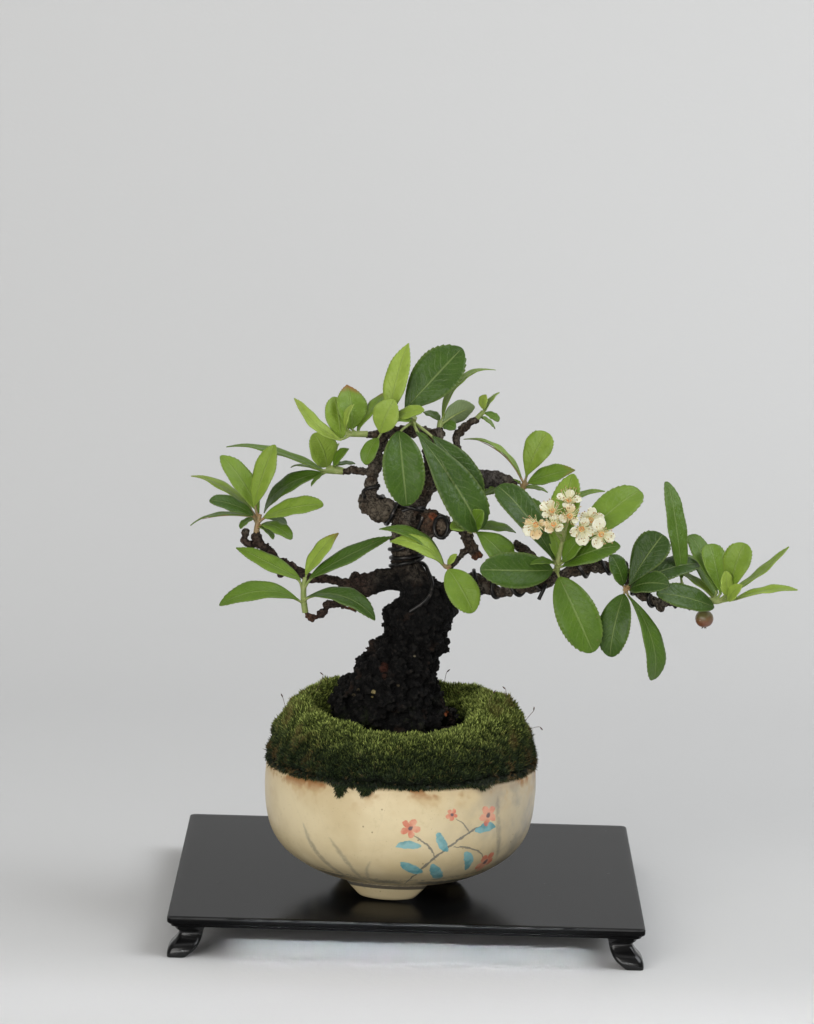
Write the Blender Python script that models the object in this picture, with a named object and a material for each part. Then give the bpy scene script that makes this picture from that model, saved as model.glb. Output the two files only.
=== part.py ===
# Firethorn bonsai in a hand-made bowl on a lacquered stand.
# Sizes are in millimetres here and become metres where a mesh is made.
# Places of twigs, leaves and flowers are (across, up, behind): across and up as the eye
# sees them from the front at the pot's distance, from the middle of the pot's rim, and
# behind is the real depth behind the pot's axis. The function seen() turns them into a
# point over the floor.

import math
import random

import bmesh
import bpy
from mathutils import Vector
from mathutils.bvhtree import BVHTree

MM = 0.001
# Between pieces that touch
GAP = 0.3

# Stand
STAND_SIDE = 137.0
STAND_HEIGHT = 12.0
BOARD_THICKNESS = 3.0
BOARD_COVE = 1.2
BOARD_CORNER = 1.2
STAND_CENTRE = (2.8, 22.0)
# Height over the floor, then how far the outer and inner sides stand in from the board's side
FOOT_LEVELS = (
    (STAND_HEIGHT - BOARD_THICKNESS - GAP, 1.9, 10.9),
    (7.7, 2.6, 10.5),
    (6.8, 3.4, 10.3),
    (5.2, 2.7, 9.9),
    (3.6, 1.1, 9.2),
    (2.2, 0.35, 8.2),
    (1.0, 0.15, 6.7),
    (0.0, 0.2, 5.4),
)
FOOT_CHAMFER = 0.18

# Pot, from the rim downwards
POT_RADIUS = 40.0
POT_HEIGHT = 37.3
POT_WALL = 4.2
POT_FOOT_HEIGHT = 4.0
POT_SIDES = 36
DRAIN_RADIUS = 5.0
POT_FOOT_TURN = -99.4
POT_FOOT_STEPS = 4
INSIDE_LEVELS = (-1.0, -14.5, -20.5, -25.4)
POT_OUTSIDE = (
    (39.7, -1.0),
    (39.9, -7.0),
    (39.3, -14.5),
    (37.6, -20.5),
    (34.2, -25.4),
    (29.5, -29.0),
    (24.5, -31.6),
    (20.5, -33.0),
)

# Soil and moss, heights over the rim
SOIL_TOP = 8.7
SOIL_SIDES = 24
PLUG_RADIUS = 11.0
TRUNK_SIDES = 12
PLUG_DEPTH = 15.0
PLUG_ACROSS = -3.0
MOSS_SIDES = 34
MOSS_CREST_BACK = 20.0
MOSS_CREST_FRONT = 13.8
MOSS_CREST_RADIUS = 26.5
MOSS_HOLLOW_RADIUS = 19.6
MOSS_ROUGHNESS = 1.1

# The eye that the places are read with
EYE_DISTANCE = 1366.3
EYE_HEIGHT = 286.2
EYE_TILT = math.radians(8.82)

# Leaves
BLADE = 0.65
BLADE_FOLD = math.radians(17.0)
PETIOLE = 0.95
TOOTH = 0.05
WAVE = 0.22
SMALL_LEAF_WIDTH = 5.2
RIBBED_LEAF_WIDTH = 7.3
STEM_SIDES = 6

RIM_HEIGHT = STAND_HEIGHT + GAP + POT_HEIGHT

# Trunk rings: across, up, behind, half width across, half width in depth
TRUNK = (
    (-3.5, 9.1, 0.0, 17.5, 13.5),
    (-4.0, 13.0, 0.0, 17.8, 13.8),
    (-4.3, 19.5, 0.0, 17.0, 13.0),
    (-3.6, 24.5, 0.0, 13.8, 11.5),
    (-2.2, 28.5, 0.0, 12.3, 10.5),
    (0.0, 31.5, 0.5, 11.0, 9.8),
    (2.2, 35.0, 1.0, 10.9, 9.5),
    (3.8, 38.5, 1.0, 9.9, 9.0),
    (4.4, 42.0, 1.0, 10.4, 9.2),
    (4.8, 45.3, 1.0, 11.1, 9.0),
    (6.0, 48.0, 1.0, 9.2, 8.0),
    (5.6, 50.5, 1.0, 7.9, 7.0),
    (3.2, 53.0, 1.0, 6.3, 5.8),
    (1.2, 55.5, 1.0, 5.3, 5.0),
    (0.0, 58.0, 1.0, 4.2, 4.3),
    (-0.3, 61.5, 1.0, 3.8, 3.9),
    (-0.5, 65.5, 1.0, 4.1, 4.2),
    (0.0, 70.0, 0.5, 4.5, 4.5),
    (0.3, 74.5, 0.5, 4.3, 4.2),
    (3.0, 78.0, 1.5, 3.5, 3.5),
    (5.5, 82.0, 2.0, 3.0, 3.0),
    (7.0, 87.0, 2.0, 2.6, 2.6),
    (6.5, 92.0, 1.0, 2.3, 2.3),
    (5.0, 96.8, 0.5, 1.6, 1.6),
)

# Limbs: across, up, behind, radius
LIMBS = {
    "crown_bar": (
        (9.4, 95.6, 1.0, 1.5),
        (5.0, 97.0, 0.5, 1.7),
        (0.0, 97.3, 0.0, 1.6),
        (-5.0, 96.5, -1.0, 1.5),
        (-9.0, 95.5, -1.5, 1.4),
        (-13.0, 96.0, -2.0, 1.1),
    ),
    "crown_stub": ((6.2, 95.0, 0.0, 1.3), (6.4, 91.6, -3.0, 1.1)),
    "crown_middle_spur": ((-6.8, 96.5, -1.3, 1.0), (-6.9, 98.7, -2.2, 0.85)),
    "crown_centre_spur": ((0.2, 97.3, 0.0, 1.0), (0.5, 99.3, -1.4, 0.9)),
    "crown_back_spur": ((8.4, 95.8, 1.0, 1.1), (8.6, 97.9, 3.0, 0.9)),
    "upper_left": (
        (-1.0, 71.5, 0.0, 3.0),
        (-4.0, 73.0, 0.0, 2.7),
        (-6.5, 73.8, 0.0, 3.7),
        (-9.5, 73.9, 0.0, 3.9),
        (-12.0, 75.3, 0.5, 2.6),
        (-11.5, 79.0, 1.0, 1.9),
        (-10.5, 84.0, 1.5, 1.7),
        (-9.2, 90.0, 0.5, 1.5),
        (-8.2, 95.0, -1.0, 1.3),
    ),
    "left_tier_twig": (
        (-10.5, 84.3, 1.5, 1.3),
        (-15.0, 85.4, 4.0, 1.25),
        (-19.5, 84.6, 6.0, 1.1),
    ),
    "red_lump": (
        (5.6, 66.2, -1.3, 2.2),
        (6.2, 70.0, -1.8, 3.3),
        (6.6, 73.6, -1.8, 2.2),
    ),
    "round_knob": (
        (7.0, 69.6, -1.5, 2.4),
        (10.2, 69.3, -2.8, 3.5),
        (12.4, 69.6, -2.4, 2.2),
    ),
    "knob_twig": (
        (11.0, 69.9, -2.4, 1.6),
        (14.5, 69.8, -3.0, 1.3),
        (17.3, 67.6, -4.0, 1.5),
        (18.1, 64.5, -5.0, 2.0),
        (19.6, 62.8, -5.0, 2.0),
        (21.2, 60.6, -5.0, 1.4),
    ),
    "knob_twig_bud": ((17.4, 66.6, -4.0, 1.0), (18.2, 67.4, -6.0, 0.85)),
    "thin_twig": (
        (18.2, 63.6, -5.0, 1.1),
        (16.0, 61.2, -7.0, 0.95),
        (14.3, 59.2, -9.0, 0.85),
        (12.9, 57.6, -10.5, 0.8),
    ),
    "right_stub": (
        (6.0, 81.6, 2.0, 2.4),
        (11.0, 83.0, 3.0, 2.2),
        (18.0, 83.9, 5.0, 2.25),
        (23.0, 83.9, 7.0, 2.35),
        (28.0, 83.3, 9.0, 1.9),
        (31.0, 81.6, 9.7, 1.35),
        (32.6, 80.6, 10.0, 1.1),
    ),
    "top_right_twig": (
        (6.8, 88.5, 2.0, 1.6),
        (11.0, 90.5, 4.0, 1.4),
        (13.8, 92.5, 5.5, 1.25),
        (13.7, 96.0, 6.5, 1.1),
        (16.5, 99.3, 7.8, 1.1),
        (19.6, 101.3, 9.0, 0.9),
    ),
    "right_branch": (
        (8.0, 48.5, 1.0, 4.2),
        (13.0, 50.0, -0.5, 3.3),
        (17.0, 52.8, -2.5, 2.8),
        (21.5, 53.6, -4.5, 2.6),
        (24.5, 52.0, -5.5, 2.1),
        (28.0, 50.8, -6.5, 1.9),
        (33.0, 51.8, -7.5, 1.8),
        (38.0, 52.4, -8.0, 1.7),
        (43.0, 54.8, -8.0, 1.6),
        (48.0, 57.2, -7.5, 1.6),
        (53.0, 58.2, -7.0, 1.5),
        (59.0, 59.0, -6.5, 1.5),
        (64.0, 58.6, -6.0, 1.5),
        (66.8, 55.0, -6.0, 1.4),
        (68.5, 51.8, -6.0, 1.4),
        (72.0, 49.6, -6.2, 1.4),
        (77.0, 49.0, -6.0, 1.3),
        (83.0, 49.4, -5.5, 1.3),
        (88.5, 50.0, -5.0, 1.15),
    ),
    "flowering_spur": ((44.0, 55.2, -8.0, 1.2), (44.2, 56.9, -9.8, 1.0)),
    "right_dead_stub": (
        (42.5, 55.0, -7.8, 1.4),
        (38.5, 60.0, -4.5, 1.45),
        (34.0, 63.5, -1.0, 1.6),
        (31.6, 64.8, 1.0, 1.5),
    ),
    "right_middle_spur": ((66.8, 54.4, -6.0, 1.1), (65.3, 53.1, -8.2, 0.9)),
    "upright_spur": ((81.0, 49.3, -5.7, 1.0), (81.2, 51.6, -5.8, 0.8)),
    "pointed_twig": ((73.5, 49.2, -6.2, 1.0), (75.4, 46.6, -7.0, 0.6)),
    "dark_tip": ((83.5, 49.2, -5.5, 1.0), (83.6, 46.2, -6.5, 0.8)),
    "left_branch": (
        (0.0, 53.6, 1.0, 3.6),
        (-4.0, 53.4, 0.5, 3.4),
        (-7.5, 53.0, 0.0, 3.2),
        (-10.5, 52.2, 0.0, 3.3),
        (-13.0, 51.4, -0.5, 2.3),
        (-16.5, 51.2, -1.0, 1.2),
        (-19.5, 52.3, -1.0, 1.5),
        (-22.5, 53.0, -1.0, 1.55),
        (-26.0, 53.0, -1.0, 1.4),
        (-29.5, 53.5, -0.5, 1.35),
        (-33.0, 55.5, 0.5, 1.3),
        (-37.0, 58.0, 1.5, 1.3),
        (-41.0, 61.0, 3.0, 1.25),
        (-44.0, 63.5, 4.0, 1.2),
        (-44.6, 65.6, 4.2, 1.1),
    ),
    "left_short_stub": ((-36.0, 57.2, 1.2, 1.0), (-37.0, 53.6, 0.5, 0.8)),
    "left_blunt_stub": (
        (-42.8, 62.6, 3.5, 1.0),
        (-46.2, 62.0, 3.0, 1.1),
        (-47.8, 63.4, 2.6, 1.2),
        (-47.9, 66.6, 2.4, 1.1),
    ),
    "left_low_twig": (
        (-11.0, 50.0, -0.5, 1.7),
        (-14.0, 48.0, -2.0, 1.3),
        (-17.0, 46.4, -3.0, 1.2),
        (-20.0, 46.5, -4.5, 1.2),
        (-22.3, 45.2, -6.0, 1.2),
        (-24.5, 42.2, -7.0, 1.2),
        (-28.0, 41.0, -8.2, 1.15),
        (-29.6, 43.4, -9.2, 1.0),
    ),
    "left_red_stub": (
        (-20.0, 46.3, -4.5, 0.9),
        (-17.5, 44.6, -5.5, 0.8),
        (-14.2, 43.8, -6.0, 0.75),
    ),
}

# Shoots: the limb whose end carries each, its stem after that end, and its leaves as
# (base, tip, width, turn, arch). Turn 0 faces the eye, 90 turns the top face upwards.
SHOOTS = {
    "shoot_left_low": {
        "on": "left_low_twig",
        "stem": ((-30.3, 47.0, -9.6, 0.95), (-30.2, 50.5, -10.0, 0.9), (-29.7, 53.2, -10.0, 0.65)),
        "leaves": (
            ((-31.0, 52.5, -9.5), (-50.2, 61.6, -3.0), 7.0, 48, 0.2),
            ((-31.4, 46.6, -11.0), (-54.7, 44.5, -17.0), 8.0, 47, 4.6),
            ((-29.6, 54.0, -9.5), (-20.5, 66.8, -5.0), 6.0, 48, 1.0),
            ((-28.5, 53.0, -11.0), (-4.5, 66.0, -7.5), 7.0, 50, 1.0),
            ((-29.0, 47.5, -11.5), (-8.7, 42.0, -17.0), 8.5, 54, 4.0),
        ),
    },
    "shoot_left_outer": {
        "on": "left_branch",
        "stem": ((-44.3, 68.2, 4.4, 1.0), (-43.6, 71.5, 4.4, 0.8)),
        "leaves": (
            ((-43.8, 71.8, 5.0), (-55.4, 88.5, 8.0), 7.8, 33, 1.5),
            ((-45.3, 73.6, 3.0), (-39.7, 92.0, 1.0), 7.4, 34, 0.8),
            ((-46.0, 73.0, 7.0), (-63.8, 82.8, 13.0), 6.0, 66, 1.2),
            ((-45.5, 71.2, 2.0), (-58.3, 75.2, -4.0), 6.0, 48, 1.0),
            ((-45.5, 70.8, 7.0), (-64.0, 68.4, 13.0), 5.0, 78, 1.5),
            ((-42.3, 70.6, 3.0), (-25.0, 74.8, -3.0), 7.0, 45, 1.0),
            ((-42.5, 70.6, 6.0), (-35.5, 69.0, 9.0), 4.5, 58, 0.8),
            ((-43.0, 68.5, 3.0), (-34.0, 64.7, -4.0), 5.5, 50, 1.5),
            ((-43.7, 67.9, 2.5), (-39.3, 64.5, -1.0), 3.0, 62, 0.5),
            ((-45.2, 70.3, 3.6), (-49.3, 67.2, 1.6), 3.2, 60, 0.5),
        ),
    },
    "shoot_left_tier": {
        "on": "left_tier_twig",
        "stem": ((-21.8, 85.3, 6.3, 1.0), (-24.4, 85.2, 6.5, 0.9)),
        "leaves": (
            ((-25.5, 84.8, 7.0), (-53.8, 91.6, 16.0), 6.5, 72, 2.0),
            ((-25.0, 84.5, 7.5), (-34.8, 86.0, 14.0), 4.0, 75, 0.8),
            ((-24.3, 86.0, 6.0), (-29.5, 94.0, 3.0), 7.0, 30, 1.2),
            ((-23.6, 86.3, 7.5), (-21.0, 93.0, 9.0), 4.5, 55, 0.8),
            ((-22.3, 86.0, 5.0), (-18.0, 91.5, 2.0), 4.5, 55, 0.8),
            ((-21.8, 86.4, 7.5), (-16.0, 87.2, 11.0), 3.0, 68, 0.4),
            ((-25.2, 84.0, 5.5), (-28.7, 80.2, 2.0), 2.5, 68, 0.4),
            ((-25.3, 84.2, 7.5), (-42.5, 72.0, 15.0), 7.0, 50, 3.5),
        ),
    },
    "shoot_crown_left": {
        "on": "crown_bar",
        "stem": ((-15.8, 95.8, -2.5, 1.0), (-19.0, 95.8, -2.8, 0.9)),
        "leaves": (
            ((-20.2, 93.8, -4.4), (-33.8, 106.2, -9.0), 7.0, 40, -2.4),
            ((-19.4, 96.4, -2.0), (-23.0, 106.3, 2.0), 7.0, 22, 1.2),
            ((-19.0, 97.2, -4.4), (-17.0, 104.5, -8.0), 4.5, 68, 0.8),
            ((-17.2, 97.0, -1.0), (-19.0, 110.3, 4.5), 8.5, 20, 1.5),
            ((-15.6, 96.8, -1.5), (-5.5, 109.3, 6.0), 6.0, 64, 1.2),
        ),
    },
    "shoot_crown_middle": {
        "on": "crown_middle_spur",
        "stem": ((-6.7, 99.9, -3.0, 0.95), (-6.3, 101.1, -3.4, 0.8)),
        "leaves": (
            ((-8.8, 96.3, -5.6), (-5.0, 106.2, -9.0), 7.0, 22, 1.2),
            ((-6.2, 101.8, -3.4), (-1.2, 123.0, 1.0), 7.0, 30, 2.0),
            ((-9.5, 94.8, -6.2), (-13.0, 87.0, -9.5), 5.0, 26, 0.8),
            ((-5.0, 100.5, -4.4), (3.8, 103.5, -11.0), 4.5, 42, 0.8),
            ((-5.3, 100.2, -5.2), (0.0, 100.2, -10.0), 3.0, 60, 0.5),
        ),
    },
    "shoot_crown_centre": {
        "on": "crown_centre_spur",
        "stem": ((0.8, 100.2, -2.8, 0.95), (1.2, 101.2, -3.8, 0.85)),
        "leaves": (
            ((0.2, 102.6, -2.6), (13.6, 122.4, 3.0), 13.4, 12, 1.5),
            ((-3.4, 98.0, -6.4), (-0.4, 75.2, -13.0), 12.6, 10, 2.4),
            ((2.6, 96.6, -7.8), (21.4, 68.3, -17.0), 11.6, 22, 1.0),
            ((5.6, 96.4, -6.0), (19.8, 72.0, -9.4), 8.5, 28, 2.0),
            ((2.6, 96.8, -5.6), (6.2, 91.8, -7.4), 4.0, 60, 0.4),
        ),
    },
    "shoot_crown_back": {
        "on": "crown_back_spur",
        "stem": ((8.6, 98.9, 4.0, 0.95), (8.8, 100.5, 4.4, 0.85)),
        "leaves": (
            ((9.6, 99.8, 4.6), (18.5, 105.0, 10.0), 7.0, 150, 1.0),
            ((9.3, 101.2, 5.2), (24.0, 116.5, 13.0), 6.0, 70, 4.5),
            ((8.6, 100.4, 6.0), (3.8, 103.0, 10.5), 4.5, 60, 0.6),
            ((9.8, 99.2, 3.2), (13.2, 98.2, 0.8), 4.0, 40, 0.5),
        ),
    },
    "shoot_top_right": {
        "on": "top_right_twig",
        "stem": ((20.6, 102.5, 9.2, 0.85), (21.3, 103.5, 9.2, 0.7)),
        "leaves": (
            ((21.4, 104.0, 9.0), (21.8, 108.5, 8.0), 3.5, 42, 0.5),
            ((21.8, 103.8, 9.8), (25.9, 109.3, 12.5), 3.5, 70, 0.6),
            ((21.9, 103.2, 8.8), (26.0, 100.8, 6.5), 3.2, 50, 0.5),
            ((20.8, 101.9, 10.0), (25.0, 98.6, 12.5), 3.0, 70, 0.4),
        ),
    },
    "shoot_right_upper": {
        "on": "right_stub",
        "stem": ((34.0, 80.9, 10.2, 1.0), (34.1, 83.4, 10.1, 0.85)),
        "leaves": (
            ((33.2, 84.2, 10.8), (16.2, 95.8, 14.0), 5.6, 78, 3.0),
            ((34.4, 84.5, 9.5), (40.4, 97.8, 8.0), 8.8, 22, 1.0),
            ((35.0, 82.9, 9.6), (48.7, 87.2, 7.0), 8.0, 42, 0.6),
            ((34.5, 81.6, 9.6), (41.0, 80.3, 12.0), 3.5, 70, 0.5),
            ((32.9, 83.2, 12.6), (19.0, 77.5, 17.0), 6.0, 55, 1.0),
        ),
    },
    "shoot_flowering": {
        "on": "flowering_spur",
        "stem": ((44.4, 58.4, -10.6, 1.05), (44.7, 60.6, -10.9, 0.95)),
        "leaves": (
            ((43.6, 60.0, -9.4), (26.5, 82.0, -5.0), 9.5, 27, 2.0),
            ((43.6, 60.6, -8.6), (34.5, 79.0, 0.5), 8.0, 30, 1.5),
            ((43.0, 57.4, -12.6), (22.0, 57.0, -21.0), 10.8, 10, 0.8),
            ((43.4, 59.6, -12.8), (36.5, 59.2, -16.5), 4.5, 62, 0.6),
            ((44.2, 60.8, -9.2), (42.5, 68.5, -4.5), 6.0, 35, 1.0),
            ((46.0, 59.8, -12.6), (52.0, 68.0, -17.5), 6.0, 35, 1.0),
            ((46.0, 58.6, -12.8), (62.7, 65.1, -19.0), 8.5, 36, 2.0),
            ((45.8, 60.4, -9.4), (68.0, 82.0, -1.0), 10.5, 20, 2.0),
            ((44.9, 57.6, -12.8), (55.6, 33.8, -17.0), 11.5, 5, 2.5),
            ((44.9, 61.0, -8.6), (48.2, 86.0, 1.2), 9.4, 22, 1.0),
            ((45.3, 61.0, -8.2), (57.7, 81.5, 6.0), 5.0, 76, 1.2),
        ),
    },
    "shoot_centre_right": {
        "on": "knob_twig_bud",
        "stem": ((18.6, 68.2, -6.8, 0.9), (18.9, 69.0, -7.2, 0.75)),
        "leaves": (
            ((18.0, 68.8, -7.4), (12.8, 68.8, -10.0), 4.5, 58, 0.8),
            ((19.1, 69.4, -6.8), (21.5, 73.0, -5.6), 5.0, 28, 0.5),
            ((20.0, 68.2, -7.8), (29.9, 59.3, -12.0), 9.4, 34, 1.6),
            ((19.8, 69.0, -6.2), (32.0, 68.5, 0.0), 5.5, 60, 1.0),
        ),
    },
    "shoot_lower_centre": {
        "on": "thin_twig",
        "stem": ((12.0, 57.2, -11.6, 0.85), (11.4, 57.7, -12.2, 0.75)),
        "leaves": (
            ((10.8, 58.0, -12.9), (-4.7, 64.5, -15.5), 7.5, 52, 5.0),
            ((11.0, 58.4, -12.0), (-8.2, 68.3, -11.8), 6.5, 60, 3.5),
            ((12.2, 57.0, -12.9), (20.0, 44.6, -18.0), 8.8, 12, 1.5),
            ((12.1, 58.2, -11.6), (14.7, 61.4, -12.6), 2.4, 40, 0.2),
        ),
    },
    "shoot_right_middle": {
        "on": "right_middle_spur",
        "stem": ((64.8, 52.6, -9.2, 0.95), (64.5, 52.2, -10.2, 0.85)),
        "leaves": (
            ((63.9, 53.5, -10.6), (60.0, 62.3, -12.5), 6.5, 40, 1.0),
            ((65.6, 53.4, -11.4), (75.2, 68.8, -9.0), 10.5, 16, 1.0),
            ((66.0, 53.2, -11.8), (86.0, 60.8, -13.5), 9.0, 48, 2.0),
            ((65.9, 52.4, -11.0), (77.4, 54.0, -18.5), 8.0, 42, 1.5),
            ((64.2, 51.0, -10.6), (60.5, 32.5, -15.0), 9.6, 12, 2.0),
            ((65.2, 51.0, -10.2), (74.2, 26.1, -11.5), 7.5, 38, 4.5),
        ),
    },
    "shoot_upright": {
        "on": "upright_spur",
        "stem": ((81.3, 53.2, -5.8, 0.75), (81.2, 54.8, -5.6, 0.6)),
        "leaves": (((81.0, 56.0, -5.4), (76.3, 84.6, 2.0), 6.6, 35, 1.5),),
    },
    "shoot_right_tip": {
        "on": "right_branch",
        "stem": ((91.0, 49.5, -5.2, 1.05), (93.4, 49.2, -5.6, 1.0), (94.4, 51.6, -5.8, 0.85)),
        "leaves": (
            ((92.8, 51.6, -4.4), (88.9, 66.4, -1.0), 7.8, 25, 1.0),
            ((91.8, 51.8, -3.2), (83.3, 69.0, 4.0), 7.0, 38, 1.5),
            ((91.2, 51.0, -2.6), (82.8, 63.5, 8.0), 6.0, 50, 1.0),
            ((95.4, 52.2, -7.0), (99.2, 66.8, -9.5), 8.5, 20, 1.0),
            ((94.4, 51.4, -8.0), (93.9, 58.4, -10.6), 4.2, 30, 0.4),
            ((95.8, 52.2, -5.0), (112.3, 66.3, 0.0), 6.0, 70, -0.8),
            ((96.4, 50.2, -6.8), (115.2, 53.8, -11.0), 6.0, 70, 1.0),
            ((94.8, 49.8, -8.0), (98.9, 54.6, -12.5), 4.5, 40, 0.4),
            ((90.8, 47.8, -7.4), (74.0, 51.5, -15.0), 8.4, 34, 1.0),
            ((90.6, 50.8, -3.4), (78.2, 58.8, 2.0), 5.0, 68, 0.8),
        ),
    },
}

# Width of a blade along its length, as shares of its length and of its full width
LARGE_OUTLINE = (
    (0.0, 0.12),
    (0.24, 0.56),
    (0.50, 0.99),
    (0.74, 0.99),
    (0.93, 0.58),
    (1.0, 0.12),
)
SMALL_OUTLINE = ((0.0, 0.2), (0.38, 0.84), (0.78, 0.92), (1.0, 0.2))

# Flower head: stalks carried by the flowering shoot, then blossoms as
# (middle, direction it faces, turn)
STALKS = (
    ((45.0, 63.0, -11.6, 0.75), (45.8, 66.0, -12.2, 0.72), (46.3, 68.2, -12.6, 0.7)),
    ((45.2, 63.6, -11.7, 0.65), (48.8, 66.6, -12.0, 0.6), (52.0, 67.4, -12.4, 0.6)),
)
BLOSSOMS = (
    ((37.8, 70.3, -16.0), (-0.35, -1.0, 0.0), 10),
    ((43.0, 70.8, -20.8), (-0.15, -1.0, 0.1), 50),
    ((42.4, 75.4, -13.4), (-0.25, -1.0, 0.4), 20),
    ((47.6, 73.4, -16.6), (0.1, -1.0, 0.2), 62),
    ((47.2, 78.4, -7.6), (0.0, -1.0, 0.6), 5),
    ((51.2, 69.8, -20.2), (0.1, -1.0, -0.1), 33),
    ((53.8, 72.4, -11.6), (0.3, -1.0, 0.2), 47),
    ((57.4, 68.4, -23.6), (0.25, -1.0, -0.1), 15),
)
STALK_FORKS = (0, 0, 0, 0, 0, 1, 1, 1)
CUP_RADIUS = 1.35
CUP_DEPTH = 1.5
CUP_SIDES = 5
# Share of a petal's length, then of its width
PETAL_OUTLINE = ((0.0, 0.3), (0.6, 1.0), (1.0, 0.6))
PETAL_LENGTH = 3.3
PETAL_WIDTH = 3.2
PETAL_THICKNESS = 0.62
PETAL_LIFT = 0.9
STAMENS = 3
STAMEN_LENGTH = 3.0
STAMEN_RADII = (0.36, 0.3)

BERRY_PLACE = (88.0, 44.4, -5.0)
BERRY_RADIUS = 2.7
BERRY_SIDES = 10
BERRY_CARRIER = (88.0, 49.95, -5.0)

# Wires: the path that each goes round, its route as (place along the path, angle round it)
# and the free points after its last turn. Angle 0 is towards the eye.
WIRE_RADIUS = 0.5
WIRE_STEP = 55.0
WIRES = {
    "wire_trunk": {
        "round": "trunk",
        "route": (
            (8.8, -23),
            (10.4, 5),
            (12.9, 90),
            (13.8, 180),
            (14.8, 360),
            (15.7, 540),
            (16.7, 720),
            (17.1, 765),
        ),
        "tail": (),
    },
    "wire_upper_left": {
        "round": "upper_left",
        "route": (
            (1.05, 110),
            (1.3, -90),
            (2.6, -180),
            (3.9, -275),
            (4.6, -360),
            (5.2, -450),
            (6.3, -720),
        ),
        "tail": (),
    },
    "wire_right_inner": {
        "round": "right_branch",
        "route": ((1.7, 0), (7.3, 1485)),
        "tail": ((41.6, 54.0, -11.0), (40.4, 51.4, -11.2), (39.2, 48.7, -11.0)),
    },
    "wire_right_outer": {
        "round": "right_branch",
        "route": ((8.7, 90), (12.9, 1305), (16.4, 2205)),
        "tail": (),
    },
}

COLOURS = {
    "lacquer": ((0.018, 0.018, 0.019), 0.28),
    "glaze": ((0.63, 0.54, 0.38), 0.45),
    "soil": ((0.035, 0.022, 0.014), 0.95),
    "moss": ((0.07, 0.11, 0.02), 0.95),
    "bark": ((0.045, 0.03, 0.022), 0.9),
    "wire": ((0.03, 0.027, 0.026), 0.45),
    "new_leaf": ((0.23, 0.37, 0.06), 0.45),
    "old_leaf": ((0.07, 0.16, 0.035), 0.4),
    "stalk": ((0.25, 0.30, 0.08), 0.6),
    "petal": ((0.82, 0.79, 0.60), 0.55),
    "berry": ((0.28, 0.16, 0.05), 0.4),
}
OLD_SHOOTS = ("shoot_crown_centre", "shoot_flowering", "shoot_right_middle", "shoot_upright")


def seen(across, up, behind):
    """The point over the floor for a place as the eye sees it."""
    eye = Vector((0.0, -EYE_DISTANCE, EYE_HEIGHT))
    on_view = Vector((across, up * math.sin(EYE_TILT), up * math.cos(EYE_TILT)))
    ray = on_view - eye
    point = eye + ray * ((behind - eye.y) / ray.y)
    return point + Vector((0.0, 0.0, RIM_HEIGHT))


def eye_point():
    return Vector((0.0, -EYE_DISTANCE, EYE_HEIGHT + RIM_HEIGHT))


def material(name):
    found = bpy.data.materials.get(name)
    if found:
        return found
    colour, roughness = COLOURS[name]
    made = bpy.data.materials.new(name)
    made.use_nodes = True
    shader = made.node_tree.nodes["Principled BSDF"]
    shader.inputs["Base Color"].default_value = (*colour, 1.0)
    shader.inputs["Roughness"].default_value = roughness
    shader.inputs["Metallic"].default_value = 0.0
    return made


def solid(name, points, faces, finish):
    """A mesh object from points in millimetres, its faces turned outwards."""
    mesh = bpy.data.meshes.new(name)
    mesh.from_pydata([Vector(p) * MM for p in points], [], faces)
    shape = bmesh.new()
    shape.from_mesh(mesh)
    bmesh.ops.recalc_face_normals(shape, faces=shape.faces)
    shape.to_mesh(mesh)
    shape.free()
    mesh.materials.append(material(finish))
    made = bpy.data.objects.new(name, mesh)
    bpy.context.scene.collection.objects.link(made)
    return made


def loft(name, rings, finish, looped=False):
    """Rings of equal count joined in order, with flat ends or closed on themselves."""
    count = len(rings[0])
    points = [p for ring in rings for p in ring]
    faces = []
    for r in range(len(rings) if looped else len(rings) - 1):
        here = r * count
        there = ((r + 1) % len(rings)) * count
        for k in range(count):
            after = (k + 1) % count
            faces.append((here + k, here + after, there + after, there + k))
    if not looped:
        faces.append(tuple(range(count))[::-1])
        last = (len(rings) - 1) * count
        faces.append(tuple(range(last, last + count)))
    return solid(name, points, faces, finish)


def level_ring(radius_across, radius_depth, height, sides, centre=(0.0, 0.0), start=0.0):
    ring = []
    for k in range(sides):
        angle = start + 2 * math.pi * k / sides
        across = centre[0] + radius_across * math.cos(angle)
        ring.append(Vector((across, centre[1] + radius_depth * math.sin(angle), height)))
    return ring


def fuse(base, others):
    """Joins solids that grew as one piece, and removes the others."""
    group = bpy.data.collections.new(base.name + "_repeats")
    bpy.context.scene.collection.children.link(group)
    for other in others:
        group.objects.link(other)
    union = base.modifiers.new("union", "BOOLEAN")
    union.operation = "UNION"
    union.operand_type = "COLLECTION"
    union.collection = group
    # The exact solver leaves slivers where thin blades and stalks cross
    union.solver = "MANIFOLD"
    graph = bpy.context.evaluated_depsgraph_get()
    joined = bpy.data.meshes.new_from_object(base.evaluated_get(graph))
    joined.name = base.name
    base.modifiers.clear()
    base.data = joined
    for other in others:
        bpy.data.objects.remove(other)
    bpy.data.collections.remove(group)
    return base


def crossing_frame(direction, last_side=None):
    """Two directions across a path, turned as little as can be from the last pair."""
    reference = last_side or Vector((0.0, -1.0, 0.0))
    if abs(direction.dot(reference)) > 0.95:
        reference = Vector((1.0, 0.0, 0.0))
    side = (reference - direction * reference.dot(direction)).normalized()
    return side, direction.cross(side).normalized()


def directions_along(path):
    found = []
    for k in range(len(path)):
        before = path[max(k - 1, 0)]
        after = path[min(k + 1, len(path) - 1)]
        found.append((after - before).normalized())
    return found


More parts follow.
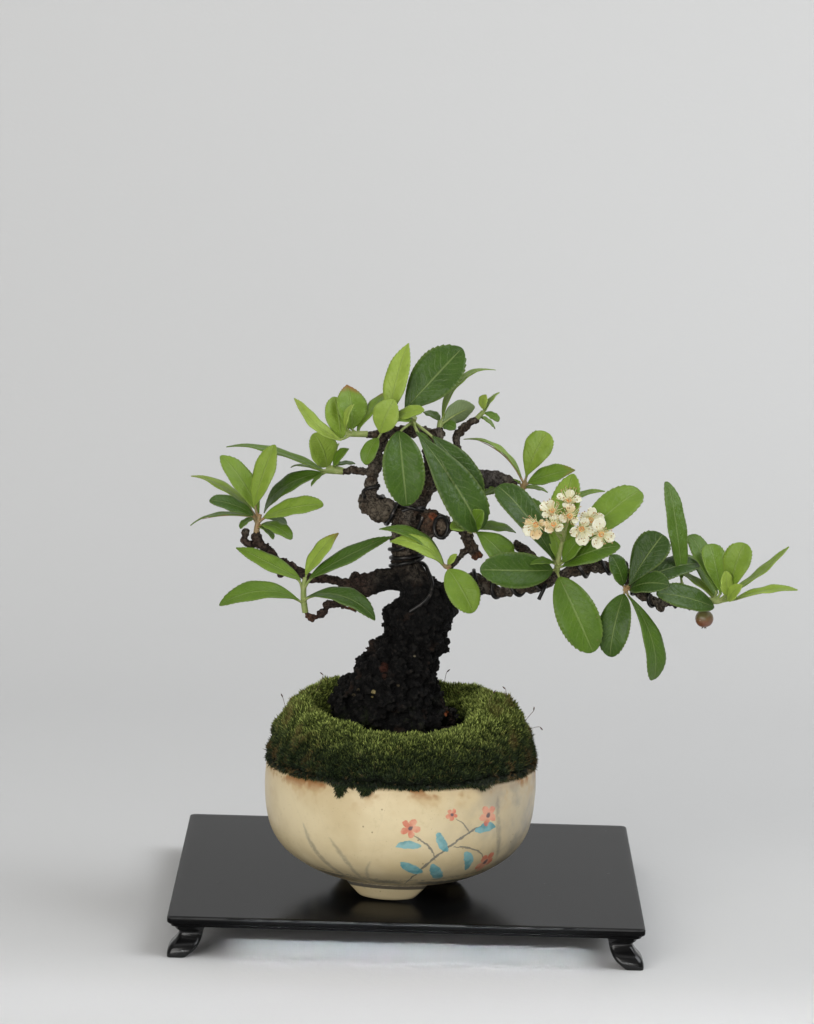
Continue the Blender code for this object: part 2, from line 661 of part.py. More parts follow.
def tube(name, path, radii, sides, finish, rough=0.0, draw=None):
    """A closed tube along a path, its bark drawn inwards by up to a share of the radius."""
    rings = []
    side = None
    for point, direction, radius in zip(path, directions_along(path), radii):
        side, across = crossing_frame(direction, side)
        ring = []
        for k in range(sides):
            angle = 2 * math.pi * k / sides
            reach = radius * (1.0 - (rough * draw.random() if draw else 0.0))
            ring.append(point + side * math.cos(angle) * reach + across * math.sin(angle) * reach)
        rings.append(ring)
    return loft(name, rings, finish)


def limb_path(name):
    rows = LIMBS[name]
    return [seen(*row[:3]) for row in rows], [row[3] for row in rows]


# Stand


def stand_board():
    x, y = STAND_CENTRE
    top = STAND_HEIGHT
    base = STAND_HEIGHT - BOARD_THICKNESS
    half = STAND_SIDE / 2
    # Height, then how far each level of the edge stands back from the side
    edge = ((base, BOARD_COVE), (base + 0.9, 0.45), (base + 1.5, 0.0), (top - 0.4, 0.0), (top, 0.4))
    rings = []
    for height, back in edge:
        reach = half - back
        ring = []
        for sx, sy in ((1, 1), (-1, 1), (-1, -1), (1, -1)):
            for first in (True, False):
                along_x = BOARD_CORNER if (first == (sx * sy < 0)) else 0.0
                along_y = BOARD_CORNER - along_x
                ring.append(Vector((x + sx * (reach - along_x), y + sy * (reach - along_y), height)))
        rings.append(ring)
    return loft("stand_board", rings, "lacquer")


def stand_foot(name, sign_x, sign_y):
    """A curled foot under a corner: hollow outside below the board, bulging inside."""
    near, far = FOOT_CHAMFER, 1.0 - FOOT_CHAMFER
    section = ((near, 0), (far, 0), (1, near), (1, far), (far, 1), (near, 1), (0, far), (0, near))
    rings = []
    for height, outer, inner in FOOT_LEVELS:
        ring = []
        for share_x, share_y in section:
            reach_x = STAND_SIDE / 2 - outer - (inner - outer) * share_x
            reach_y = STAND_SIDE / 2 - outer - (inner - outer) * share_y
            x = STAND_CENTRE[0] + sign_x * reach_x
            ring.append(Vector((x, STAND_CENTRE[1] + sign_y * reach_y, height)))
        rings.append(ring)
    return loft(name, rings, "lacquer")


# Pot, soil and moss


def pot_inside(height):
    """Radius of the pot's inner wall at a height over the rim."""
    outer = POT_OUTSIDE[0][0]
    for (r_high, z_high), (r_low, z_low) in zip(POT_OUTSIDE, POT_OUTSIDE[1:]):
        if z_low <= height <= z_high:
            outer = r_high + (r_low - r_high) * (height - z_high) / (z_low - z_high)
    return outer - POT_WALL


def pot_foot(turn):
    """A short foot cut from a ring, narrower at its base than where it meets the bowl."""
    top = RIM_HEIGHT - POT_HEIGHT + POT_FOOT_HEIGHT + 1.6
    base = RIM_HEIGHT - POT_HEIGHT
    # Height, inner radius, outer radius, half the angle it spans
    levels = ((base, 15.5, 20.4, 22.0), (base + 0.6, 15.2, 20.9, 23.5), (top, 14.5, 23.4, 34.0))
    steps = POT_FOOT_STEPS
    rings = []
    for height, inner, outer, half_angle in levels:
        ring = []
        for radius, order in ((outer, range(steps + 1)), (inner, range(steps, -1, -1))):
            for k in order:
                angle = math.radians(turn + half_angle * (2.0 * k / steps - 1.0))
                ring.append(Vector((radius * math.cos(angle), radius * math.sin(angle), height)))
        rings.append(ring)
    return loft("pot_foot", rings, "glaze")


def pot():
    floor_under = -POT_HEIGHT + POT_FOOT_HEIGHT
    floor_over = floor_under + POT_WALL
    profile = [(DRAIN_RADIUS, floor_under)]
    profile += [(19.0, floor_under)]
    profile += list(POT_OUTSIDE[::-1])
    profile += [(39.3, -0.3), (38.4, 0.0), (POT_RADIUS - POT_WALL + 0.3, 0.0)]
    for height in INSIDE_LEVELS:
        profile.append((pot_inside(height), height))
    profile += [(20.0, floor_over + 0.5), (DRAIN_RADIUS, floor_over)]
    rings = [level_ring(r, r, RIM_HEIGHT + z, POT_SIDES) for r, z in profile]
    bowl = loft("pot", rings, "glaze", looped=True)
    return fuse(bowl, [pot_foot(POT_FOOT_TURN + 120.0 * k) for k in range(3)])


def soil():
    """Fills the pot, and rises to the trunk, which stands in a plain hole."""
    hole = PLUG_RADIUS + GAP
    floor_over = -POT_HEIGHT + POT_FOOT_HEIGHT + POT_WALL
    # Radius, height, centre across
    profile = [(hole, -PLUG_DEPTH - GAP, PLUG_ACROSS), (hole, SOIL_TOP, PLUG_ACROSS)]
    profile += [(19.0, SOIL_TOP, -1.5), (25.0, 7.4, 0.0), (31.0, 3.6, 0.0)]
    for height in INSIDE_LEVELS:
        profile.append((pot_inside(height) - 1.5 * GAP, height, 0.0))
    profile += [(19.0, floor_over + 0.5 + 1.5 * GAP, 0.0)]
    rings = [level_ring(r, r, RIM_HEIGHT + z, SOIL_SIDES, (x, 0.0)) for r, z, x in profile]
    return loft("soil", rings, "soil")


def moss_crest(angle):
    """Height of the mound's crest over the rim, lowest in front."""
    front = max(0.0, -math.sin(angle)) ** 1.4
    lumps = 0.9 * math.sin(3.0 * angle + 0.6) + 0.6 * math.sin(5.0 * angle + 2.0)
    return MOSS_CREST_BACK + (MOSS_CREST_FRONT - MOSS_CREST_BACK) * front + lumps * (1.0 - 0.6 * front)


def moss():
    """A mound round the trunk, from the rim over its crest and down into the hollow."""
    draw = random.Random(11)
    rings = []
    for k in range(MOSS_SIDES):
        angle = 2 * math.pi * k / MOSS_SIDES
        crest = moss_crest(angle)
        left = max(0.0, -math.cos(angle)) ** 2
        inner = MOSS_HOLLOW_RADIUS + 4.6 * left
        crest_radius = MOSS_CREST_RADIUS + 2.2 * left
        section = [
            (39.2, 0.5),
            (39.9, 2.6),
            (39.2, 0.34 * crest),
            (36.6, 0.65 * crest),
            (32.0, 0.91 * crest),
            (crest_radius, crest),
            (0.5 * (crest_radius + inner) + 0.6, crest - 2.2),
            (inner + 0.4, max(SOIL_TOP + 2.4, crest - 6.0)),
            (inner, SOIL_TOP + 0.35),
            (25.6, 7.9),
            (31.2, 4.2),
            (35.0, 0.5),
        ]
        ring = []
        for number, (radius, height) in enumerate(section):
            swell = 0.0
            if 1 < number < 8:
                swell = -MOSS_ROUGHNESS * draw.random()
            reach = radius + swell
            level = RIM_HEIGHT + height + 0.4 * swell
            ring.append(Vector((reach * math.cos(angle), reach * math.sin(angle), level)))
        rings.append(ring)
    return loft("moss", rings, "moss", looped=True)


# Trunk


def trunk():
    draw = random.Random(5)
    sides = TRUNK_SIDES
    rings = []
    for depth in (-PLUG_DEPTH, SOIL_TOP + 0.2):
        rings.append(level_ring(PLUG_RADIUS, PLUG_RADIUS, RIM_HEIGHT + depth, sides, (PLUG_ACROSS, 0.0)))
    for number, (across, up, behind, half_across, half_depth) in enumerate(TRUNK):
        middle = seen(across, up, behind)
        ring = []
        for k in range(sides):
            angle = 2 * math.pi * k / sides
            # Rough bark below, smoother above the neck, and always inside the outline
            share = 0.13 if number < 13 else 0.08
            reach = 1.0 - share * draw.random()
            lift = 0.0 if number < 1 else 0.35 * (draw.random() - 0.5)
            ring.append(
                middle
                + Vector((half_across * reach * math.cos(angle), half_depth * reach * math.sin(angle), lift))
            )
        rings.append(ring)
    main = loft("trunk", rings, "bark")
    pieces = []
    for name in LIMBS:
        path, radii = limb_path(name)
        sides_here = 8 if max(radii) > 2.3 else 6
        pieces.append(tube(name, path, radii, sides_here, "bark", 0.14, draw))
    return fuse(main, pieces)


# Wires


def around(path, place):
    """Point and direction at a place along a path, counted in its points."""
    low = min(int(place), len(path) - 2)
    rest = place - low
    point = path[low].lerp(path[low + 1], rest)
    near = (path[low + 1] - path[max(low - 1, 0)]).normalized()
    far = (path[min(low + 2, len(path) - 1)] - path[low]).normalized()
    return point, near.lerp(far, rest).normalized()


def winding(route, step):
    """Places and angles along a route, a step of angle apart."""
    rows = []
    for (place, angle), (next_place, next_angle) in zip(route, route[1:]):
        count = max(1, round(abs(next_angle - angle) / step))
        for k in range(count):
            share = k / count
            rows.append((place + (next_place - place) * share, angle + (next_angle - angle) * share))
    rows.append(route[-1])
    return rows


def wire(name, plan, bark):
    """A wire wound round a limb, just clear of its bark."""
    if plan["round"] == "trunk":
        path = [seen(*row[:3]) for row in TRUNK]
        outside = [1.15 * max(row[3:]) + 1.0 for row in TRUNK]
    else:
        path, radii = limb_path(plan["round"])
        outside = [1.6 * radius + 1.2 for radius in radii]
    finer = 4
    rays = []
    for place, degrees in winding(plan["route"], WIRE_STEP / finer):
        middle, direction = around(path, place)
        side, across = crossing_frame(direction)
        angle = math.radians(degrees)
        outwards = side * math.cos(angle) + across * math.sin(angle)
        # The bark is met from outside, so that no lump is missed
        furthest = outside[round(place)]
        hit = bark.ray_cast((middle + outwards * furthest) * MM, -outwards, furthest * MM)
        reach = furthest - hit[3] / MM if hit[0] else 1.0
        rays.append((middle, outwards, reach))
    points = []
    for k in range(0, len(rays), finer):
        middle, outwards, _ = rays[k]
        near = [row[2] for row in rays[max(k - finer, 0) : k + finer + 1]]
        # Lifted so that the straight run to the next point clears the bark too
        lifted = max(near) / math.cos(math.radians(0.5 * WIRE_STEP))
        points.append(middle + outwards * (lifted + GAP + WIRE_RADIUS))
    points += [seen(*place) for place in plan["tail"]]
    curve = bpy.data.curves.new(name, "CURVE")
    curve.dimensions = "3D"
    curve.bevel_depth = WIRE_RADIUS * MM
    curve.bevel_resolution = 1
    curve.use_fill_caps = True
    spline = curve.splines.new("POLY")
    spline.points.add(len(points) - 1)
    for place, point in zip(spline.points, points):
        place.co = (*(point * MM), 1.0)
    curve.materials.append(material("wire"))
    made = bpy.data.objects.new(name, curve)
    bpy.context.scene.collection.objects.link(made)
    return made


# Leaves


def blade(base, tip, width, turn, arch, root, finish):
    """One leaf: a folded, toothed blade of even thickness on its short stalk."""
    chord = tip - base
    along = chord.normalized()
    look = (eye_point() - base).normalized()
    facing = (look - along * look.dot(along)).normalized()
    side = along.cross(facing)
    if side.z < 0:
        side = -side
    turned = math.radians(turn)
    normal = (facing * math.cos(turned) + side * math.sin(turned)).normalized()
    beside = along.cross(normal)
    small = width < SMALL_LEAF_WIDTH
    outline = SMALL_OUTLINE if small else LARGE_OUTLINE
    rings = []
    stalk_half = 0.5 * PETIOLE
    stations = [(None, 0.0)] + list(outline)
    for number, (share, spread) in enumerate(stations):
        if share is None:
            middle = root
            half = stalk_half
            thick = 0.5 * PETIOLE
            fold = 0.0
            wave = 0.0
        else:
            bow = normal * arch * 4.0 * share * (1.0 - share)
            middle = base + chord * share + bow
            tooth = 1.0 if share in (0.0, 1.0) else 1.0 + TOOTH * (-1) ** number
            half = max(0.5 * width * spread * tooth, stalk_half)
            thick = 0.5 * BLADE
            fold = math.tan(BLADE_FOLD) * (half - stalk_half)
            wave = 0.0 if share == 0.0 else WAVE * (-1) ** number
        left = middle - beside * half + normal * (fold + wave)
        right = middle + beside * half + normal * (fold - wave)
        up = normal * thick
        if width < RIBBED_LEAF_WIDTH:
            rings.append((left + up, right + up, right - up, left - up))
        else:
            rings.append((left + up, middle + up, right + up, right - up, middle - up, left - up))
    count = len(rings[0])
    points = [p for ring in rings for p in ring]
    faces = []
    half_count = count // 2
    for r in range(len(rings) - 1):
        here = r * count
        there = here + count
        for k in range(count):
            after = (k + 1) % count
            a, b, c, d = here + k, here + after, there + after, there + k
            # Both faces are cut along the same diagonals, so that the blade keeps its thickness
            if k < half_count:
                faces += [(a, b, c), (a, c, d)]
            else:
                faces += [(a, b, d), (b, c, d)]
    for first, flip in ((0, True), ((len(rings) - 1) * count, False)):
        for k in range(half_count - 1):
            quad = (first + k, first + k + 1, first + count - 2 - k, first + count - 1 - k)
            faces.append(quad[::-1] if flip else quad)
    return solid("blade", points, faces, finish)


def nearest_on(path, point):
    """The nearest point of a stem, kept off both of its ends."""
    best = None
    for start, end in zip(path, path[1:]):
        run = end - start
        share = max(0.0, min(1.0, (point - start).dot(run) / run.length_squared))
        if start is path[0]:
            share = max(share, min(1.0, 0.9 / run.length))
        if end is path[-1]:
            share = min(share, max(0.0, 1.0 - 0.6 / run.length))
        found = start + run * share
        if best is None or (found - point).length < (best - point).length:
            best = found
    return best


def stem_path(plan):
    """The shoot's stem, which starts just clear of the end of the limb that carries it."""
    limb, radii = limb_path(plan["on"])
    end = limb[-1]
    onwards = (end - limb[-2]).normalized()
    path = [end + onwards * GAP]
    path += [seen(*row[:3]) for row in plan["stem"]]
    return path, [radii[-1]] + [row[3] for row in plan["stem"]], onwards


def shoot(name, plan):
    finish = "old_leaf" if name in OLD_SHOOTS else "new_leaf"
    path, radii, onwards = stem_path(plan)
    # The first ring lies parallel to the limb's cut end
    rings = []
    side = None
    for number, (point, direction, radius) in enumerate(zip(path, directions_along(path), radii)):
        side, across = crossing_frame(onwards if number == 0 else direction, side)
        ring = []
        for k in range(STEM_SIDES):
            angle = 2 * math.pi * k / STEM_SIDES
            ring.append(point + side * math.cos(angle) * radius + across * math.sin(angle) * radius)
        rings.append(ring)
    stem = loft(name, rings, finish)
    leaves = []
    for base, tip, width, turn, arch in plan["leaves"]:
        start = seen(*base)
        leaves.append(blade(start, seen(*tip), width, turn, arch, nearest_on(path, start), finish))
    return fuse(stem, leaves)


# Flowers and berry


def blossom_seat(number):
    """Middle, facing direction and the point where the stalk meets the cup."""
    place, facing, _ = BLOSSOMS[number]
    middle = seen(*place)
    facing = Vector(facing).normalized()
    return middle, facing, middle - facing * (CUP_DEPTH + GAP)


def flower_stalks():
    path, _, _ = stem_path(SHOOTS["shoot_flowering"])
    end = path[-1]
    onwards = (path[-1] - path[-2]).normalized()
    main = [end + onwards * GAP] + [seen(*row[:3]) for row in STALKS[0]]
    base = tube("flower_stalks", main, [0.8] + [row[3] for row in STALKS[0]], 5, "stalk")
    fork = [seen(*row[:3]) for row in STALKS[1]]
    pieces = [tube("fork", fork, [row[3] for row in STALKS[1]], 5, "stalk")]
    for number, branch in enumerate(STALK_FORKS):
        middle, facing, seat = blossom_seat(number)
        start = (main, fork)[branch][-2 if number % 2 else -1]
        bend = seat - facing * 1.6
        pieces.append(tube("pedicel", [start, bend, seat], [0.5, 0.45, 0.5], 5, "stalk"))
    return fuse(base, pieces)


def blossom(number):
    """A cup with five petals and a few stamens, facing its own way."""
    middle, facing, _ = blossom_seat(number)
    turn = math.radians(BLOSSOMS[number][2])
    draw = random.Random(40 + number)
    side, across = crossing_frame(facing)
    rings = []
    for depth, radius in ((-CUP_DEPTH, 0.55), (-0.2, CUP_RADIUS), (0.55, 0.9)):
        ring = []
        for k in range(CUP_SIDES):
            angle = 2 * math.pi * k / CUP_SIDES
            out = side * math.cos(angle) + across * math.sin(angle)
            ring.append(middle + facing * depth + out * radius)
        rings.append(ring)
    cup = loft(f"blossom_{number + 1}", rings, "petal")
    pieces = []
    for k in range(5):
        angle = turn + 2 * math.pi * k / 5 + 0.06 * (draw.random() - 0.5)
        out = side * math.cos(angle) + across * math.sin(angle)
        beside = facing.cross(out)
        rings = []
        for share, spread in PETAL_OUTLINE:
            half = 0.5 * PETAL_WIDTH * spread
            lift = PETAL_LIFT * share * share
            centre = middle + out * (0.9 + PETAL_LENGTH * share) + facing * (lift - 0.1)
            curl = facing * 0.25 * spread
            thick = facing * 0.5 * PETAL_THICKNESS
            rings.append(
                (
                    centre - beside * half + curl + thick,
                    centre + beside * half + curl + thick,
                    centre + beside * half + curl - thick,
                    centre - beside * half + curl - thick,
                )
            )
        pieces.append(loft("petal", rings, "petal"))
    for k in range(STAMENS):
        angle = turn + 0.6 + 2 * math.pi * k / STAMENS
        out = side * math.cos(angle) + across * math.sin(angle)
        foot = middle + out * 0.5 + facing * 0.2
        top = foot + out * 1.4 + facing * STAMEN_LENGTH
        pieces.append(tube("stamen", [foot, top], STAMEN_RADII, 3, "petal"))
    return fuse(cup, pieces)


def berry():
    """A small fruit on its stalk, hung from the right branch."""
    middle = seen(*BERRY_PLACE)
    rings = []
    for k in range(1, 8):
        angle = math.pi * k / 8
        radius = BERRY_RADIUS * math.sin(angle)
        height = middle.z + BERRY_RADIUS * math.cos(angle)
        rings.append(level_ring(radius, radius, height, BERRY_SIDES, middle.xy))
    fruit = loft("berry", rings, "berry")
    top = seen(*BERRY_CARRIER) - Vector((0.0, 0.0, 1.25 + GAP))
    low = middle + Vector((0.0, 0.0, BERRY_RADIUS - 0.6))
    stalk = tube("berry_stalk", [top, low], [0.45, 0.5], 6, "berry")
    return fuse(fruit, [stalk])


def centre_over_origin():
    """Parents every piece to one empty, which brings the middle of the whole over the origin."""
    pieces = [obj for obj in bpy.context.scene.objects if obj.type in ("MESH", "CURVE")]
    # The wires, the only curves, lie well inside the box of the rest
    corners = [Vector(corner) for obj in pieces if obj.type == "MESH" for corner in obj.bound_box]
    across = [corner.x for corner in corners]
    deep = [corner.y for corner in corners]
    whole = bpy.data.objects.new("bonsai", None)
    bpy.context.scene.collection.objects.link(whole)
    for obj in pieces:
        obj.parent = whole
    whole.location = (-0.5 * (min(across) + max(across)), -0.5 * (min(deep) + max(deep)), 0.0)


def main():
    for old in list(bpy.data.objects):
        bpy.data.objects.remove(old)
    stand_board()
    for name, sign_x, sign_y in (
        ("stand_foot_front_left", -1, -1),
        ("stand_foot_front_right", 1, -1),
        ("stand_foot_back_left", -1, 1),
        ("stand_foot_back_right", 1, 1),
    ):
        stand_foot(name, sign_x, sign_y)
    pot()
    soil()
    moss()
    wood = trunk()
    bark = BVHTree.FromObject(wood, bpy.context.evaluated_depsgraph_get())
    for name, plan in WIRES.items():
        wire(name, plan, bark)
    for name, plan in SHOOTS.items():
        shoot(name, plan)
    flower_stalks()
    for number in range(len(BLOSSOMS)):
        blossom(number)
    berry()
    centre_over_origin()


main()
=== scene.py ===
import math
import random

import bmesh
import bpy
import numpy as np
from mathutils import Matrix, Vector
from mathutils.bvhtree import BVHTree


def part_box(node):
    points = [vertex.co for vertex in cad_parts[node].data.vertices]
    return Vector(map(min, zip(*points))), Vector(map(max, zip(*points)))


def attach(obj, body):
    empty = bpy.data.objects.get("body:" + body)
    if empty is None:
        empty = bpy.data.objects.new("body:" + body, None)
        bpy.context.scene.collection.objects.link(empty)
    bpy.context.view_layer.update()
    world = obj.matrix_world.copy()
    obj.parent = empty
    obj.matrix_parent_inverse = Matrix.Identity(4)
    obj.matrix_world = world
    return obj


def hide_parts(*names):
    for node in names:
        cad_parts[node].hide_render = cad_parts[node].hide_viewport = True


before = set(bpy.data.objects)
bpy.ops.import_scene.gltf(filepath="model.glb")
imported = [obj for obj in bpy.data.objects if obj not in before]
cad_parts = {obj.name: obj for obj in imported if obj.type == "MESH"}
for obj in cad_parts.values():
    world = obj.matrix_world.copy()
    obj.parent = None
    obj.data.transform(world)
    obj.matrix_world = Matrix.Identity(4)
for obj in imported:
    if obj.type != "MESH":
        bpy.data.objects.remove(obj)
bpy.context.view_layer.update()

# A small firethorn grown in a hand-made bowl. Sizes are in millimetres until a mesh is made.
mm = 0.001

# Places of twigs, leaves and flowers are (across, up, behind): across and up as the eye sees
# them at the pot's distance, from the middle of the rim, and behind is the real depth.
eye = {"distance": 1366.3, "height": 286.2, "tilt": math.radians(8.82), "roll": math.radians(1.6)}
rimHeight = 49.6
potLow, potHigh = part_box("pot")
potAxis = Vector((0.5 * (potLow.x + potHigh.x), 0.5 * (potLow.y + potHigh.y), 0.0))
noTurn = (0.0, 0.0, 0.0)


def place(across, up, behind=0.0):
    start = Vector((0.0, -eye["distance"], eye["height"]))
    onView = Vector((across, up * math.sin(eye["tilt"]), up * math.cos(eye["tilt"])))
    ray = onView - start
    point = start + ray * ((behind - start.y) / ray.y)
    return (point + Vector((0.0, 0.0, rimHeight))) * mm + potAxis


def eyePoint():
    return Vector((0.0, -eye["distance"], eye["height"] + rimHeight)) * mm + potAxis


def clearSelection():
    if bpy.context.mode != "OBJECT":
        bpy.ops.object.mode_set(mode="OBJECT")
    bpy.ops.object.select_all(action="DESELECT")


def onlySelect(*pieces):
    clearSelection()
    for piece in pieces:
        piece.select_set(True)
    bpy.context.view_layer.objects.active = pieces[0]


def takeAll():
    bpy.ops.mesh.select_all(action="SELECT")


def startEditing(piece):
    # Edit mode with everything selected
    onlySelect(piece)
    bpy.ops.object.mode_set(mode="EDIT")
    takeAll()


def stopEditing():
    bpy.ops.object.mode_set(mode="OBJECT")


def pick(kind, test):
    # kind is verts, edges or faces of the mesh being edited
    modes = {"verts": "VERT", "edges": "EDGE", "faces": "FACE"}
    bpy.ops.mesh.select_mode(type=modes[kind])
    bpy.ops.mesh.select_all(action="DESELECT")
    mesh = bpy.context.edit_object.data
    shape = bmesh.from_edit_mesh(mesh)
    for part in getattr(shape, kind):
        if test(part):
            part.select_set(True)
    bmesh.update_edit_mesh(mesh)


def settle(piece):
    # Place, turn and size go into the mesh
    onlySelect(piece)
    bpy.ops.object.transform_apply(location=True, rotation=True, scale=True)


def added(operator, at=noTurn, turn=noTurn, scale=(1.0, 1.0, 1.0), paint=None, **settings):
    # A primitive on its own, with its place, turn and size in its mesh
    clearSelection()
    operator(**settings)
    piece = bpy.context.object
    piece.location, piece.rotation_euler, piece.scale = at, turn, scale
    settle(piece)
    if paint:
        piece.data.materials.append(paint)
    return piece


def applyAll(piece):
    onlySelect(piece)
    for modifier in list(piece.modifiers):
        bpy.ops.object.modifier_apply(modifier=modifier.name)


def addRemesh(piece, voxel, rounds):
    # One skin over all parts, relaxed over some rounds
    fine = piece.modifiers.new("fine", "REMESH")
    fine.mode = "VOXEL"
    fine.voxel_size = voxel * mm
    fine.use_smooth_shade = True
    relax = piece.modifiers.new("relax", "SMOOTH")
    relax.factor = 0.5
    relax.iterations = rounds


def cloud(name, size, depth=2, kind="CLOUDS"):
    made = bpy.data.textures.new(name, kind)
    made.noise_scale = size * mm
    if kind == "CLOUDS":
        made.noise_depth = depth
    else:
        made.distance_metric = "DISTANCE_SQUARED"
    return made


def addRelief(piece, texture, strength, middle, group=""):
    layer = piece.modifiers.new(texture.name, "DISPLACE")
    layer.texture = texture
    layer.texture_coords = "LOCAL"
    layer.vertex_group = group
    layer.strength = strength * mm
    layer.mid_level = middle


def points(piece):
    found = np.empty(len(piece.data.vertices) * 3, np.float32)
    piece.data.vertices.foreach_get("co", found)
    return found.reshape(-1, 3).astype(np.float64)


def setPoints(mesh, found):
    mesh.vertices.foreach_set("co", found.astype(np.float32).ravel())
    mesh.update()


def setValue(mesh, name, values):
    layer = mesh.attributes.get(name) or mesh.attributes.new(name, "FLOAT", "POINT")
    layer.data.foreach_set("value", np.broadcast_to(values, len(mesh.vertices)).astype(np.float32))


def joined(pieces):
    onlySelect(*pieces)
    if len(pieces) > 1:
        bpy.ops.object.join()
    return bpy.context.object


def linked(name, mesh):
    made = bpy.data.objects.new(name, mesh)
    bpy.context.scene.collection.objects.link(made)
    return made


def meshCopy(source, found, name):
    # A copy with its own mesh and moved points
    made = linked(name, source.data.copy())
    setPoints(made.data, found)
    return made


def weldedCopy(nodeName, name):
    # A CAD node's mesh as one skin, left open for editing
    made = linked(name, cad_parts[nodeName].data.copy())
    startEditing(made)
    bpy.ops.mesh.remove_doubles(threshold=0.001 * mm)
    return made


def taken(piece):
    # The points and corners of a small shape that many copies are made of
    shape = points(piece)
    corners = np.array([tuple(face.vertices) for face in piece.data.polygons])
    bpy.data.objects.remove(piece)
    return shape, corners


def unit(rows):
    return rows / np.linalg.norm(rows, axis=1)[:, None]


def turnAbout(angle, axis="Z"):
    return np.array(Matrix.Rotation(angle, 3, axis))


def softTube(name, lines, sides=2, steps=3):
    # Smooth round stems through the lines' points, each point with its radius in millimetres
    clearSelection()
    bpy.ops.curve.primitive_nurbs_path_add()
    made = bpy.context.object
    made.name = name
    curve = made.data
    curve.splines.clear()
    curve.bevel_depth = mm
    curve.bevel_resolution = sides
    curve.use_fill_caps = True
    curve.resolution_u = steps
    for line in lines:
        spline = curve.splines.new("NURBS")
        spline.points.add(len(line) - 1)
        spline.order_u = min(4, len(line))
        spline.use_endpoint_u = True
        for node, (point, radius) in zip(spline.points, line):
            node.co = (*point, 1.0)
            node.radius = radius
    onlySelect(made)
    bpy.ops.object.convert(target="MESH")
    made = bpy.context.object
    settle(made)
    bpy.ops.object.shade_smooth()
    return made


def titled(name):
    # shoot_left_low becomes shootLeftLow
    first, *rest = name.split("_")
    return first + "".join(part.title() for part in rest)


def keep(piece, name, stands=(), paint=None):
    piece.name = name
    piece.data.name = name
    if paint:
        piece.data.materials.clear()
        piece.data.materials.append(paint)
    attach(piece, "root")
    if stands:
        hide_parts(*stands)
    return piece


def treeOf(piece):
    return BVHTree.FromObject(piece, bpy.context.evaluated_depsgraph_get())


def fill(socket, value):
    # A socket takes a tone, a colour or a plain value
    if isinstance(value, Tone):
        value.tree.links.new(value.socket, socket)
    elif isinstance(value, tuple) and socket.type == "RGBA":
        socket.default_value = (*value, 1.0)
    else:
        socket.default_value = value


class Tone:
    # One socket of a node tree, so that shader maths reads as plain sums
    def __init__(self, tree, socket=None):
        self.tree = tree
        self.socket = socket

    def add(self, kind, sockets=None, output=0, **settings):
        node = self.tree.nodes.new(kind)
        for key, value in settings.items():
            setattr(node, key, value)
        for key, value in (sockets or {}).items():
            fill(node.inputs[key], value)
        return Tone(self.tree, node.outputs[output])

    def math(self, operation, other=0.0):
        return self.add("ShaderNodeMath", {0: self, 1: other}, operation=operation)

    def __add__(self, other):
        return self.math("ADD", other)

    def __sub__(self, other):
        return self.math("SUBTRACT", other)

    def __rsub__(self, other):
        return self.add("ShaderNodeMath", {0: other, 1: self}, operation="SUBTRACT")

    def __mul__(self, other):
        return self.math("MULTIPLY", other)

    def __truediv__(self, other):
        return self.math("DIVIDE", other)

    def __pow__(self, other):
        return self.math("POWER", other)

    def __abs__(self):
        return self.math("ABSOLUTE")

    __radd__ = __add__
    __rmul__ = __mul__

    def below(self, limit):
        return self.math("MINIMUM", limit)

    def smooth(self, low, high):
        # 0 below low and 1 above high, or the other way round where low is above high
        sockets = {"Value": self, "From Min": low, "From Max": high}
        return self.add("ShaderNodeMapRange", sockets, interpolation_type="SMOOTHSTEP")

    def mix(self, first, second):
        sockets = {0: self, 6: first, 7: second}
        return self.add("ShaderNodeMix", sockets, 2, data_type="RGBA")

    def part(self, letter):
        return self.add("ShaderNodeSeparateXYZ", {0: self}, "XYZ".index(letter))

    def moved(self, by):
        return self.add("ShaderNodeVectorMath", {0: self, 1: by}, operation="ADD")

    def noise(self, scale, detail=2.0, rough=0.5, output=0):
        sockets = {"Vector": self, "Scale": scale, "Detail": detail, "Roughness": rough}
        return self.add("ShaderNodeTexNoise", sockets, output)

    def cells(self, scale, feature="F1"):
        return self.add("ShaderNodeTexVoronoi", {"Vector": self, "Scale": scale}, feature=feature)

    def bump(self, depth, strength):
        sockets = {"Height": self, "Distance": depth * mm, "Strength": strength}
        return self.add("ShaderNodeBump", sockets)

    def stored(self, name):
        return self.add("ShaderNodeAttribute", output="Fac", attribute_name=name)

    def mapped(self):
        return self.add("ShaderNodeTexCoord", output="UV")

    def ramp(self, stops):
        found = self.add("ShaderNodeValToRGB", {0: self})
        elements = found.socket.node.color_ramp.elements
        while len(elements) < len(stops):
            elements.new(0.5)
        for element, (position, colour) in zip(elements, stops):
            element.position = position
            element.color = (*colour, 1.0)
        return found


def newPaint(name):
    # A material, and the place on the piece in millimetres
    paint = bpy.data.materials.new(name)
    paint.use_nodes = True
    at = Tone(paint.node_tree).add("ShaderNodeTexCoord", output="Object")
    toMillimetres = {0: at, 1: (1000.0, 1000.0, 1000.0)}
    return paint, at.add("ShaderNodeVectorMath", toMillimetres, operation="MULTIPLY")


def finished(paint, **sockets):
    shader = paint.node_tree.nodes["Principled BSDF"]
    for key, value in sockets.items():
        fill(shader.inputs[key.replace("_", " ")], value)
    return paint


# Studio: a paper sweep for floor and wall, lights and camera

